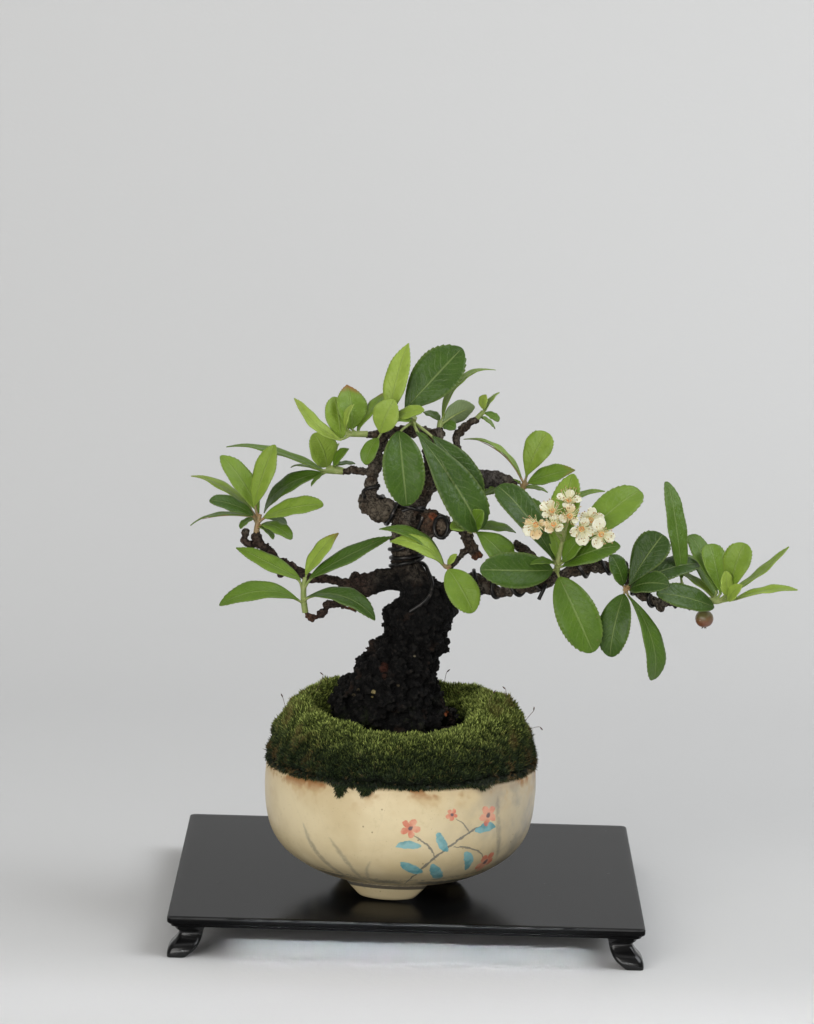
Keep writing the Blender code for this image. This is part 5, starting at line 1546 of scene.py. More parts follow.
# Each shoot: the limb it grows from, how brown its young wood is, its stem after the limb's end
# (with radii), and its leaves as (base, tip, width, turn, arch, age, tint of the tip, kind).
# Turn 0 faces the front, 90 up.
shoots = {
    "shoot_left_low": (
        "leftLowTwig", 0.1,
        ((-30.3, 47.0, -9.6, 0.95), (-30.2, 50.5, -10.0, 0.9), (-29.7, 53.2, -10.0, 0.65)),
        ((-31.0, 52.5, -9.5), (-50.2, 61.6, -3.0), 7.0, 48, 0.2, 0.35, 0, "lance"),
        ((-31.4, 46.6, -11.0), (-54.7, 44.5, -17.0), 8.0, 47, 4.6, 0.45, 0, "rhomb"),
        ((-29.6, 54.0, -9.5), (-20.5, 66.8, -5.0), 6.2, 46, 1.0, 0.1, 0.5, "lance"),
        ((-28.5, 53.0, -11.0), (-4.5, 66.0, -7.5), 7.0, 50, 1.0, 0.75, 0, "lance"),
        ((-29.0, 47.5, -11.5), (-8.7, 42.0, -17.0), 8.5, 54, 4.0, 0.8, 0, "rhomb"),
    ),
    "shoot_left_outer": (
        "leftBranch", 0.75,
        ((-44.3, 68.2, 4.4, 1.0), (-43.6, 71.5, 4.4, 0.8)),
        ((-43.8, 71.8, 5.0), (-55.4, 88.5, 8.0), 7.8, 33, 1.5, 0.3, 0, "rhomb"),
        ((-45.3, 73.6, 3.0), (-39.7, 92.0, 1.0), 7.4, 34, 0.8, 0.1, 0, "rhomb"),
        ((-46.0, 73.0, 7.0), (-63.8, 82.8, 13.0), 6.0, 66, 1.2, 0.1, 0.1, "lance"),
        ((-45.5, 71.2, 2.0), (-58.3, 75.2, -4.0), 6.0, 48, 1.0, 0.9, 0, "oval"),
        ((-45.5, 70.8, 7.0), (-64.0, 68.4, 13.0), 5.0, 78, 1.5, 0.5, 0, "lance"),
        ((-42.3, 70.6, 3.0), (-25.0, 74.8, -3.0), 7.0, 45, 1.0, 0.25, 0, "oval"),
        ((-42.5, 70.6, 6.0), (-35.5, 69.0, 9.0), 4.5, 58, 0.8, 0.8, 0, "oval"),
        ((-43.0, 68.5, 3.0), (-34.0, 64.7, -4.0), 5.5, 50, 1.5, 0.5, 0, "oval"),
        ((-43.7, 67.9, 2.5), (-39.3, 64.5, -1.0), 3.0, 62, 0.5, 0.5, 0, "oval"),
        ((-45.2, 70.3, 3.6), (-49.3, 67.2, 1.6), 3.2, 60, 0.5, 0.6, 0, "oval"),
    ),
    "shoot_left_tier": (
        "leftTierTwig", 0.1,
        ((-21.8, 85.3, 6.3, 1.6), (-24.4, 85.2, 6.5, 1.4)),
        ((-25.5, 84.8, 7.0), (-53.8, 91.6, 16.0), 6.5, 72, 2.0, 0.5, 0, "lance"),
        ((-25.0, 84.5, 7.5), (-34.8, 86.0, 14.0), 4.0, 75, 0.8, 0.5, 0, "lance"),
        ((-24.3, 86.0, 6.0), (-28.2, 95.6, 3.0), 9.2, 26, 1.2, 0.1, 0, "oval"),
        ((-23.6, 86.3, 7.5), (-21.0, 93.0, 9.0), 4.5, 55, 0.8, 0.05, 0, "lance"),
        ((-22.3, 86.0, 5.0), (-18.0, 91.5, 2.0), 4.5, 55, 0.8, 0.5, 0, "lance"),
        ((-21.8, 86.4, 7.5), (-16.0, 87.2, 11.0), 3.0, 68, 0.4, 0.75, 0, "oval"),
        ((-25.2, 84.0, 5.5), (-28.7, 80.2, 2.0), 2.5, 68, 0.4, 0.5, 0, "lance"),
        ((-25.3, 84.2, 7.5), (-42.5, 72.0, 15.0), 7.0, 50, 3.5, 0.75, 0, "lance"),
    ),
    "shoot_crown_left": (
        "crownBar", 0.1,
        ((-15.8, 95.8, -2.5, 1.0), (-19.0, 95.8, -2.8, 0.9)),
        ((-20.2, 93.8, -4.4), (-33.8, 106.2, -9.0), 5.4, 50, -2.4, 0, 0.1, "lance"),
        ((-20.4, 93.8, -1.0), (-22.7, 106.7, 2.0), 8.6, 20, 1.2, 0.2, 0, "rhomb"),
        ((-19.0, 97.2, -4.4), (-17.0, 104.5, -8.0), 4.5, 68, 0.8, 0, 0, "lance"),
        ((-17.2, 97.0, -1.0), (-19.0, 110.3, 4.5), 9.4, 20, 1.5, 0.3, 0.8, "lance"),
        ((-15.6, 96.8, -1.5), (-5.5, 109.3, 6.0), 6.0, 60, 1.2, 0.3, 0.6, "lance"),
    ),
    "shoot_crown_middle": (
        "crownMiddleSpur", 0.1,
        ((-6.7, 99.9, -3.0, 0.95), (-6.3, 101.1, -3.4, 0.8)),
        ((-8.8, 96.3, -5.6), (-5.0, 106.2, -9.0), 8.2, 20, 1.2, 0.1, 0, "rhomb"),
        ((-6.2, 101.8, -3.4), (-1.2, 123.0, 1.0), 7.6, 28, 2.0, 0.1, 0, "lance"),
        ((-9.5, 94.8, -6.2), (-13.0, 87.0, -9.5), 5.0, 26, 0.8, 0.5, 0, "oval"),
        ((-5.0, 100.5, -4.4), (3.8, 103.5, -11.0), 4.5, 42, 0.8, 0.05, 0, "oval"),
        ((-5.3, 100.2, -5.2), (0.0, 100.2, -10.0), 3.0, 60, 0.5, 0.45, 0, "oval"),
    ),
    "shoot_crown_centre": (
        "crownCentreSpur", 0.1,
        ((0.8, 100.2, -2.8, 0.95), (1.2, 101.2, -3.8, 0.85)),
        ((-1.8, 103.4, -1.8), (14.6, 122.0, 3.0), 13.6, 12, 1.5, 0.85, 0, "rhomb"),
        ((-3.4, 97.0, -6.8), (-0.4, 75.2, -13.0), 12.4, 10, 2.4, 0.8, 0, "oval"),
        ((1.8, 97.0, -7.8), (21.6, 68.9, -12.5), 12.6, 18, 1.0, 0.95, 0, "broad"),
        ((6.6, 95.9, -6.0), (21.6, 75.6, -7.6), 9.5, 24, 2.0, 0.95, 0, "rhomb"),
        ((2.6, 96.8, -5.6), (6.2, 91.8, -7.4), 4.0, 60, 0.4, 0.75, 0, "oval"),
    ),
    "shoot_crown_back": (
        "crownBackSpur", 0.1,
        ((8.6, 98.9, 4.0, 0.95), (8.8, 100.5, 4.4, 0.85)),
        ((9.6, 99.8, 4.6), (18.5, 105.0, 10.0), 7.0, 150, 1.0, 0.35, 0, "rhomb"),
        ((9.3, 101.2, 5.2), (24.0, 116.5, 13.0), 6.0, 70, 4.5, 0.3, 0, "lance"),
        ((8.6, 100.4, 6.0), (3.8, 103.0, 10.5), 4.5, 60, 0.6, 0.6, 0, "lance"),
        ((9.8, 99.2, 3.2), (13.2, 98.2, 0.8), 4.0, 40, 0.5, 0.75, 0, "oval"),
    ),
    "shoot_top_right": (
        "topRightTwig", 0.1,
        ((20.6, 102.5, 9.2, 0.85), (21.3, 103.5, 9.2, 0.7)),
        ((21.4, 104.0, 9.0), (21.8, 108.5, 8.0), 3.5, 42, 0.5, 0, 0.1, "rhomb"),
        ((21.8, 103.8, 9.8), (25.9, 109.3, 12.5), 3.5, 70, 0.6, 0.15, 0, "lance"),
        ((21.9, 103.2, 8.8), (26.0, 100.8, 6.5), 3.2, 50, 0.5, 0.55, 0, "oval"),
        ((20.8, 101.9, 10.0), (25.0, 98.6, 12.5), 3.0, 70, 0.4, 0.45, 0, "lance"),
    ),
    "shoot_right_upper": (
        "rightUpperTwig", 0.7,
        ((34.0, 80.9, 10.2, 1.0), (34.1, 83.4, 10.1, 0.85)),
        ((33.2, 84.2, 10.8), (16.2, 95.8, 14.0), 5.6, 78, 3.0, 0.2, 0, "lance"),
        ((34.4, 84.5, 9.5), (40.4, 97.8, 8.0), 8.8, 22, 1.0, 0.25, 0, "broad"),
        ((35.0, 82.9, 9.6), (48.7, 87.2, 7.0), 6.6, 38, 0.6, 0.4, 0.3, "lance"),
        ((34.5, 81.6, 9.6), (41.0, 80.3, 12.0), 3.5, 70, 0.5, 0.4, 0, "lance"),
        ((32.9, 83.2, 12.6), (19.0, 77.5, 17.0), 6.0, 55, 1.0, 0.45, 0, "lance"),
    ),
    "shoot_flowering": (
        "floweringSpur", 0.35,
        ((44.4, 58.4, -10.6, 1.05), (44.7, 60.6, -10.9, 0.95)),
        ((43.6, 60.0, -9.4), (26.5, 82.0, -5.0), 9.5, 27, 2.0, 0.9, 0, "broad"),
        ((43.6, 60.6, -8.6), (34.5, 79.0, 0.5), 8.0, 30, 1.5, 0.7, 0, "rhomb"),
        ((43.0, 57.4, -12.6), (22.0, 57.0, -21.0), 10.8, 10, 0.8, 0.9, 0, "oval"),
        ((43.4, 59.6, -12.8), (36.5, 59.2, -16.5), 4.5, 62, 0.6, 0.65, 0, "lance"),
        ((44.2, 60.8, -9.2), (42.5, 68.5, -4.5), 6.0, 35, 1.0, 0.25, 0, "rhomb"),
        ((46.0, 59.8, -12.6), (52.0, 68.0, -17.5), 6.0, 35, 1.0, 0.45, 0, "rhomb"),
        ((46.0, 58.6, -12.8), (62.7, 65.1, -19.0), 8.5, 36, 2.0, 0.65, 0, "rhomb"),
        ((45.8, 60.4, -9.4), (68.0, 82.0, -1.0), 10.5, 20, 2.0, 0.4, 0, "broad"),
        ((45.0, 55.4, -12.8), (55.6, 33.6, -17.0), 12.2, 5, 2.5, 0.65, 0, "oval"),
        ((44.9, 61.0, -8.6), (48.2, 86.0, 1.2), 9.4, 22, 1.0, 0.3, 0, "rhomb"),
        ((42.4, 75.2, 3.0), (57.6, 81.6, 6.0), 4.4, 66, 1.0, 0.4, 0, "lance"),
    ),
    "shoot_centre_right": (
        "knobTwigBud", 0.5,
        ((18.6, 68.2, -6.8, 0.9), (18.9, 69.0, -7.2, 0.75)),
        ((18.0, 68.8, -8.4), (12.8, 68.8, -14.5), 4.8, 52, 0.8, 0.35, 0, "oval"),
        ((19.3, 69.2, -8.4), (21.9, 74.0, -15.0), 5.6, 30, 0.5, 0.5, 0, "oval"),
        ((20.0, 68.2, -7.8), (29.9, 59.3, -12.0), 9.4, 34, 1.6, 0.45, 0, "broad"),
        ((19.8, 69.0, -6.2), (32.0, 68.5, 0.0), 5.5, 60, 1.0, 0.5, 0, "lance"),
    ),
    "shoot_lower_centre": (
        "thinTwig", 0.8,
        ((12.0, 57.2, -11.6, 0.85), (11.4, 57.7, -12.2, 0.75)),
        ((10.8, 58.0, -12.9), (-4.9, 64.7, -15.5), 7.5, 50, 3.4, 0.1, 0, "lance"),
        ((11.0, 58.4, -12.0), (-8.2, 68.3, -11.8), 6.5, 60, 3.5, 0.55, 0, "lance"),
        ((12.3, 56.7, -12.9), (20.0, 44.4, -18.0), 9.4, 12, 1.5, 0.35, 0, "oval"),
        ((12.1, 58.2, -11.6), (14.7, 61.4, -12.6), 2.4, 40, 0.2, 0, 0, "lance"),
    ),
    "shoot_right_middle": (
        "rightMiddleSpur", 0.75,
        ((64.8, 52.6, -9.2, 0.95), (64.5, 52.2, -10.2, 0.85)),
        ((63.9, 53.5, -10.6), (60.0, 62.3, -12.5), 6.5, 40, 1.0, 0.85, 0, "oval"),
        ((65.6, 53.4, -11.4), (75.2, 68.8, -9.0), 10.5, 16, 1.0, 1, 0, "broad"),
        ((66.0, 53.2, -9.5), (86.0, 60.8, -2.5), 9.0, 44, 2.0, 1, 0, "oval"),
        ((65.9, 52.4, -11.0), (77.4, 54.0, -18.5), 8.0, 42, 1.5, 1, 0, "oval"),
        ((64.2, 51.0, -10.6), (60.5, 32.5, -15.0), 9.6, 12, 2.0, 0.9, 0, "oval"),
        ((65.2, 51.0, -10.2), (74.2, 26.1, -11.5), 7.5, 38, 4.5, 0.65, 0, "broad"),
    ),
    "shoot_upright": (
        "uprightSpur", 0.1,
        ((81.3, 53.2, -5.8, 0.75), (81.2, 54.8, -5.6, 0.6)),
        ((81.0, 56.0, -5.4), (76.3, 84.6, 2.0), 6.6, 35, 1.5, 0.65, 0, "oval"),
    ),
    "shoot_right_tip": (
        "rightBranch", 0.1,
        ((91.0, 49.5, -5.2, 1.05), (93.4, 49.2, -5.6, 1.0), (94.4, 51.6, -5.8, 0.85)),
        ((92.8, 51.6, -4.4), (88.9, 66.4, -1.0), 7.8, 25, 1.0, 0.4, 0, "broad"),
        ((91.8, 51.8, -3.2), (83.3, 69.0, 4.0), 7.0, 38, 1.5, 0.6, 0, "broad"),
        ((91.2, 51.0, -2.6), (82.8, 63.5, 8.0), 6.0, 50, 1.0, 0.55, 0, "lance"),
        ((95.4, 52.2, -7.0), (99.2, 66.8, -9.5), 8.5, 20, 1.0, 0.25, 0, "broad"),
        ((94.4, 51.4, -8.0), (93.9, 58.4, -10.6), 4.2, 30, 0.4, 0.05, 0, "oval"),
        ((95.8, 52.2, -5.0), (112.3, 66.3, 0.0), 6.0, 70, -0.8, 0.2, 0, "lance"),
        ((96.4, 50.2, -6.8), (115.2, 53.8, -11.0), 6.0, 70, 1.0, 0.15, 0, "lance"),
        ((94.8, 49.8, -8.0), (98.9, 54.6, -12.5), 4.5, 40, 0.4, 0, 0, "lance"),
        ((90.8, 47.8, -7.4), (74.0, 51.5, -15.0), 8.4, 34, 1.0, 0.9, 0, "oval"),
        ((90.6, 50.8, -3.4), (78.2, 58.8, 2.0), 5.0, 68, 0.8, 0.15, 0, "lance"),
    ),
}


def sideVeins(along, side, shake=None):
    # Side veins leave the midrib and bend towards the tip: how far each point is from the next
    sweep = along * 11.0 - (side * 5.2) ** 0.9 * 1.15
    if shake:
        sweep = sweep + (shake - 0.5) * 1.3
    return abs(sweep - (sweep + 0.5).math("FLOOR"))


def leafPaint():
    paint, at = newPaint("leafUpper")
    spread = at.mapped()
    along, across = spread.part("X"), spread.part("Y") - 0.5
    age, tipTint, seed = (at.stored(name) for name in ("leafAge", "leafTip", "leafSeed"))
    side = abs(across)
    vein = sideVeins(along, side, at.noise(0.25, 2.0)).smooth(0.14, 0.0) * side.smooth(0.42, 0.20)
    midrib = side.smooth(0.034, 0.012)
    net = at.cells(1.35, "DISTANCE_TO_EDGE").smooth(0.10, 0.0)
    blotch = at.moved((3.0, 7.0, 5.0)).noise(0.20, 3.0, 0.6)
    colour = (age + (blotch - 0.5) * 0.30 + (seed - 0.5) * 0.12).ramp(leafLook["tones"])
    margin = (side + blotch * 0.06).smooth(0.455, 0.52) * 0.25
    browned = (along + (blotch - 0.5) * 0.35 + side * 0.3).smooth(0.78, 1.10) * tipTint
    marks = at.cells(0.42).smooth(0.13, 0.05) * at.noise(0.3, 1.0).smooth(0.58, 0.64)
    for share, tone in (
        (vein * (0.05 + age * 0.05), leafLook["vein"]),
        (net * 0.06, leafLook["net"]),
        (midrib * (0.24 + age * 0.06), leafLook["midrib"]),
        (margin, leafLook["margin"]),
        (browned, leafLook["tipColour"]),
        (marks * 0.6, leafLook["mark"]),
    ):
        colour = share.mix(colour, tone)
    relief = at.noise(0.9, 3.0) * 0.5 - vein * 0.2 - midrib * 0.6 - net * 0.07
    relief = (relief + at.noise(0.30, 2.0) * 2.2).bump(0.32, 0.75)
    rough = leafLook["gloss"] + at.noise(0.5, 3.0, 0.6) * 0.16 - age * 0.05
    return finished(
        paint, Base_Color=colour, Roughness=rough, Normal=relief, Specular_IOR_Level=0.28
    )


def leafUnderPaint():
    paint, at = newPaint("leafUnderside")
    spread = at.mapped()
    along, side = spread.part("X"), abs(spread.part("Y") - 0.5)
    age = at.stored("leafAge")
    vein = sideVeins(along, side).smooth(0.13, 0.0) * side.smooth(0.47, 0.30)
    blotch = at.noise(0.22, 3.0, 0.6)
    colour = (age * 0.7 + blotch * 0.3).mix(leafLook["underneath"], leafLook["underOld"])
    colour = (vein * 0.35).mix(colour, leafLook["underVein"])
    browned = (along + (blotch - 0.5) * 0.35).smooth(0.74, 1.02) * at.stored("leafTip")
    colour = browned.mix(colour, leafLook["tipColour"])
    relief = (vein * 0.5 + at.noise(1.2, 3.0) * 0.4).bump(0.25, 0.7)
    return finished(paint, Base_Color=colour, Roughness=0.62, Normal=relief)


def stemPaint():
    paint, at = newPaint("youngStem")
    blotch = at.noise(0.5, 3.0, 0.6)
    green = blotch.smooth(0.3, 0.7).mix(*leafLook["stemGreen"])
    brown = blotch.smooth(0.35, 0.65).mix(*leafLook["stemBrown"])
    woody = (at.stored("stemWood") + (blotch - 0.5) * 0.5).smooth(0.25, 0.75)
    spots = at.cells(1.1).smooth(0.24, 0.12) * 0.4
    colour = spots.mix(woody.mix(green, brown), leafLook["stemSpots"])
    relief = at.noise(1.8, 3.0, 0.6).bump(0.12, 0.6)
    return finished(paint, Base_Color=colour, Roughness=0.55, Normal=relief)


def leafTemplate(kind, paints):
    # A flat blade from x 0 to 1 and half a unit to each side, with teeth along its edge
    toBase, toTip = leafKinds[kind]
    peak = toBase / (toBase + toTip)
    widest = peak ** toBase * (1.0 - peak) ** toTip
    stations, columns = leafLook["stations"], leafLook["columns"]
    blade = added(
        bpy.ops.mesh.primitive_grid_add, x_subdivisions=stations, y_subdivisions=columns,
        size=1.0, at=(0.5, 0.0, 0.0),
    )
    for paint in paints:
        blade.data.materials.append(paint)
    startEditing(blade)
    for step in range(stations + 1):
        share = step / stations
        inner = min(max(share, 0.004), 0.9965)
        width = max(inner ** toBase * (1.0 - inner) ** toTip / widest, 0.045)
        pick("verts", lambda v: abs(v.co.x - share) < 1e-4)
        middle = (share, 0.0, 0.0)
        bpy.ops.transform.resize(value=(1.0, width, 1.0), center_override=middle)
        # Teeth lean towards the tip: each swells over its length and then steps in
        phase = share * leafLook["teeth"] % 1.0
        fade = min(1.0, 8.0 * (share - 0.12), 14.0 * (1.0 - share))
        swell = leafLook["tooth"] * (phase - 0.35) * fade
        if 0.14 < share < 0.985:
            pick("verts", lambda v: abs(v.co.x - share) < 1e-4 and abs(v.co.y) > 0.497 * width)
            bpy.ops.transform.resize(value=(1.0, 1.0 + swell, 1.0), center_override=middle)
            bpy.ops.transform.translate(value=(0.45 * swell, 0.0, 0.0))
    stopEditing()
    thick = blade.modifiers.new("thick", "SOLIDIFY")
    thick.thickness = 0.02
    thick.offset = 0.0
    thick.use_rim = True
    thick.material_offset = 1
    applyAll(blade)
    onlySelect(blade)
    bpy.ops.object.shade_smooth()
    blade.name = "leafPattern_" + kind
    return blade


def layLeaf(pattern, base, tip, width, turn, arch, draw):
    # The blade's points, folded, arched and waved between its base and its tip
    flat = points(pattern)
    share, beside, over = flat[:, 0], flat[:, 1], flat[:, 2]
    chord = tip - base
    along = chord.normalized()
    look = (eyePoint() - base).normalized()
    facing = (look - along * look.dot(along)).normalized()
    sideways = along.cross(facing)
    if sideways.z < 0:
        sideways = -sideways
    turned = math.radians(turn)
    normal = (facing * math.cos(turned) + sideways * math.sin(turned)).normalized()
    acrossWay = along.cross(normal)
    reach = beside * width
    half = 0.5 * width
    edge = np.abs(beside) * 2.0
    rise = math.tan(leafLook["fold"]) * (np.sqrt(reach ** 2 + 0.16) - 0.4)
    rise -= 0.16 * half * edge ** 3 * draw.uniform(0.3, 1.0)
    bow = arch * 4.0 * share * (1.0 - share)
    beat = draw.uniform(2.0, 3.2)
    phase = draw.uniform(0.0, 1.0)
    ripple = np.sin(2 * math.pi * (beat * share + phase + 0.25 * np.sign(beside)))
    ripple = ripple * leafLook["wave"] * edge ** 2 * min(1.0, width / 6.0)
    curl = draw.uniform(0.0, 0.045)
    tipCurl = -np.clip((share - 0.72) / 0.28, 0.0, 1.0) ** 2 * curl * chord.length / mm
    twist = draw.uniform(-0.16, 0.16) * (share - 0.5) * reach
    thick = np.sign(over) * 0.5 * leafLook["thickness"] * (1.0 - 0.55 * edge ** 4)
    lift = (bow + rise + ripple + tipCurl + twist + thick) * mm
    bend = draw.uniform(-0.02, 0.02) * chord.length * np.sin(math.pi * share)
    sideStep = reach * mm + bend
    return (
        np.array(base)
        + share[:, None] * np.array(chord)
        + sideStep[:, None] * np.array(acrossWay)
        + lift[:, None] * np.array(normal)
    ), normal


def nearestOn(path, point):
    best = None
    for number, (start, end) in enumerate(zip(path, path[1:])):
        run = end - start
        share = max(0.0, min(1.0, (point - start).dot(run) / run.length_squared))
        if number == 0:
            share = max(share, min(1.0, 0.9 * mm / run.length))
        if number == len(path) - 2:
            share = min(share, max(0.0, 1.0 - 0.6 * mm / run.length))
        found = start + run * share
        if best is None or (found - point).length < (best - point).length:
            best = found
    return best


def stemOf(limb, stem):
    path, radii = pathOf(limb)
    end = path[-1]
    start = end - (end - path[-2]).normalized() * 0.5 * mm
    line = [start] + [place(*row[:3]) for row in stem]
    return line, [radii[-1] * 0.98] + [row[3] for row in stem]


def makeShoot(name, plan, patterns, stemLook, number):
    limb, woody, stem, *leaves = plan
    draw = random.Random(300 + number)
    path, radii = stemOf(limb, stem)
    lines = [[(point, radius * 0.95) for point, radius in zip(path, radii)]]
    parts = []
    for base, tip, width, turn, arch, age, tipTint, kind in leaves:
        start, end = place(*base), place(*tip)
        found, normal = layLeaf(patterns[kind], start, end, width, turn, arch, draw)
        leaf = meshCopy(patterns[kind], found, "leaf")
        for key, amount in (("leafAge", age), ("leafTip", tipTint), ("leafSeed", draw.random())):
            setValue(leaf.data, key, amount)
        parts.append(leaf)
        # The leaf's own stalk runs on under the blade as its midrib
        root = nearestOn(path, start.lerp(path[0], 0.4))
        size = min(1.0, 0.5 + width / 14.0)
        line = [(root, 0.50 * size), (root.lerp(start, 0.55) - normal * 0.05 * mm, 0.42 * size)]
        for share, radius in leafLook["midribLine"]:
            lift = (arch * 4.0 * share * (1.0 - share) - 0.26 * size) * mm
            line.append((start.lerp(end, share) + normal * lift, radius * size))
        lines.append(line)
    stems = softTube("stems", lines, 1, 3)
    stems.data.materials.clear()
    stems.data.materials.append(stemLook)
    setValue(stems.data, "stemWood", woody)
    return keep(joined(parts + [stems]), titled(name), [name])


leafPaints = (leafPaint(), leafUnderPaint())
stemLook = stemPaint()
patterns = {kind: leafTemplate(kind, leafPaints) for kind in leafKinds}
for number, (name, plan) in enumerate(shoots.items()):
    makeShoot(name, plan, patterns, stemLook, number)
for pattern in patterns.values():
    bpy.data.objects.remove(pattern)
print("leaves ready")


# Flower head

flowerLook = {
    "petal": (0.84, 0.83, 0.68),
    "claw": (0.50, 0.48, 0.16),
    "petalShade": (0.76, 0.74, 0.54),
    "heart": (0.60, 0.17, 0.035),
    "heartPale": (0.72, 0.45, 0.15),
    "thread": (0.78, 0.76, 0.52),
    "threadDark": (0.72, 0.66, 0.36),
    "anther": (0.28, 0.12, 0.05),
    "antherPale": (0.62, 0.46, 0.20),
    "stalk": (0.21, 0.27, 0.075),
    "stalkPale": (0.30, 0.31, 0.12),
    "petalSize": (3.5, 3.5, 2.6),
    # Half the petal's width from its claw to its rim
    "petalShape": (0.22, 0.46, 0.72, 0.90, 0.99, 1.0, 0.92, 0.74, 0.40),
    "stamens": 26,
}
stalks = (
    ((45.0, 63.0, -11.6, 0.75), (45.8, 66.0, -12.2, 0.72), (46.3, 68.2, -12.6, 0.7)),
    ((45.2, 63.6, -11.7, 0.65), (48.8, 66.6, -12.0, 0.6), (52.0, 67.4, -12.4, 0.6)),
)
# Middle, the way it faces, and the petals that are left as (angle, size, how spent)
blossoms = (
    (
        (37.8, 70.6, -16.0), (-0.35, -1.0, 0.1),
        ((216, 1.05, 0.0), (272, 0.98, 0.9), (168, 0.75, 1.0), (20, 0.6, 0.8)),
    ),
    (
        (43.0, 70.8, -20.8), (-0.1, -0.8, 0.6),
        ((235, 0.8, 0.7), (320, 0.8, 0.2), (180, 0.6, 0.9)),
    ),
    (
        (42.4, 74.8, -13.4), (-0.2, -0.8, 0.6),
        ((150, 0.9, 0.2), (105, 0.8, 0.5), (285, 0.75, 0.3), (215, 0.7, 0.3)),
    ),
    (
        (47.6, 73.4, -16.6), (0.1, -0.9, 0.4),
        ((205, 0.8, 0.5), (85, 0.8, 0.7), (320, 0.6, 0.3)),
    ),
    (
        (47.2, 78.0, -7.6), (0.0, -0.6, 0.8),
        ((10, 0.85, 0.1), (80, 0.8, 0.2), (160, 0.85, 0.3), (250, 0.7, 0.2)),
    ),
    (
        (51.2, 69.8, -20.2), (0.1, -1.0, -0.1),
        ((275, 1.15, 0.0), (200, 0.85, 0.2), (345, 0.9, 0.0), (70, 0.8, 0.1)),
    ),
    (
        (53.8, 72.4, -11.6), (0.3, -0.9, 0.3),
        ((15, 0.95, 0.0), (88, 0.85, 0.1), (160, 0.85, 0.3), (300, 0.9, 0.0)),
    ),
    (
        (57.0, 68.4, -23.6), (0.25, -1.0, -0.1),
        ((105, 1.18, 0.0), (243, 1.02, 0.0), (343, 0.95, 0.0)),
    ),
)
# Which fork of the stalk each blossom stands on
stalkForks = (0, 0, 0, 0, 0, 1, 1, 1)


def petalPaint():
    paint, at = newPaint("creamPetal")
    along = at.mapped().part("X")
    spent = at.stored("petalSpent")
    streak = at.noise(1.6, 3.0, 0.6)
    colour = streak.smooth(0.35, 0.7).mix(flowerLook["petal"], flowerLook["petalShade"])
    stain = (spent * 1.5 - along * 0.9 + (streak - 0.5) * 0.9).smooth(0.0, 0.9)
    colour = (stain * 0.75).mix(colour, flowerLook["heartPale"])
    colour = (along.smooth(0.28, 0.0) * 0.55).mix(colour, flowerLook["claw"])
    return finished(paint, Base_Color=colour, Roughness=0.5, Normal=streak.bump(0.12, 0.6))


def plainPaint(name, light, dark, scale, gloss, depth=0.1):
    paint, at = newPaint(name)
    blotch = at.noise(scale, 3.0, 0.6)
    colour = blotch.smooth(0.32, 0.68).mix(light, dark)
    return finished(paint, Base_Color=colour, Roughness=gloss, Normal=blotch.bump(depth, 0.6))


def makePetal(paint):
    # One cupped petal along x, from its claw at 0 to its rim at 1
    petal = added(
        bpy.ops.mesh.primitive_grid_add, x_subdivisions=8, y_subdivisions=6, size=1.0,
        at=(0.5, 0.0, 0.0), paint=paint,
    )
    startEditing(petal)
    for step, width in enumerate(flowerLook["petalShape"]):
        share = step / 8
        pick("verts", lambda v: abs(v.co.x - share) < 1e-4)
        bpy.ops.transform.resize(value=(1.0, width, 1.0), center_override=(share, 0.0, 0.0))
    stopEditing()
    found = points(petal)
    x, y = found[:, 0].copy(), found[:, 1].copy()
    found[:, 0] = x - 0.10 * (2.0 * y) ** 2 * x - 0.07 * np.exp(-((y / 0.09) ** 2)) * (x > 0.9)
    cupped = 0.34 * y ** 2 * (1.0 - 0.3 * x) * 2.0
    found[:, 2] = cupped + 0.22 * x ** 2 + 0.03 * np.sin(14.0 * y) * x
    setPoints(petal.data, found)
    thick = petal.modifiers.new("thick", "SOLIDIFY")
    thick.thickness = 0.045
    thick.offset = 0.0
    applyAll(petal)
    bpy.ops.object.shade_smooth()
    return petal


def makeStamen(threadPaint, antherPaint):
    # A thread from 0 to 1 along z, bowed a little, and its anther on top
    thread = added(
        bpy.ops.mesh.primitive_cylinder_add, vertices=5, radius=0.030, depth=1.0,
        at=(0.0, 0.0, 0.5), paint=threadPaint,
    )
    startEditing(thread)
    pick("edges", lambda e: abs(e.verts[0].co.z - e.verts[1].co.z) > 0.5)
    bpy.ops.mesh.subdivide(number_cuts=3)
    stopEditing()
    found = points(thread)
    found[:, 0] += 0.10 * np.sin(math.pi * found[:, 2])
    found[:, :2] *= (1.15 - 0.45 * found[:, 2])[:, None]
    setPoints(thread.data, found)
    anther = added(
        bpy.ops.mesh.primitive_ico_sphere_add, subdivisions=1, radius=0.085,
        at=(0.0, 0.0, 1.02), scale=(1.0, 0.8, 0.75), paint=antherPaint,
    )
    bpy.ops.object.shade_smooth()
    return thread, anther


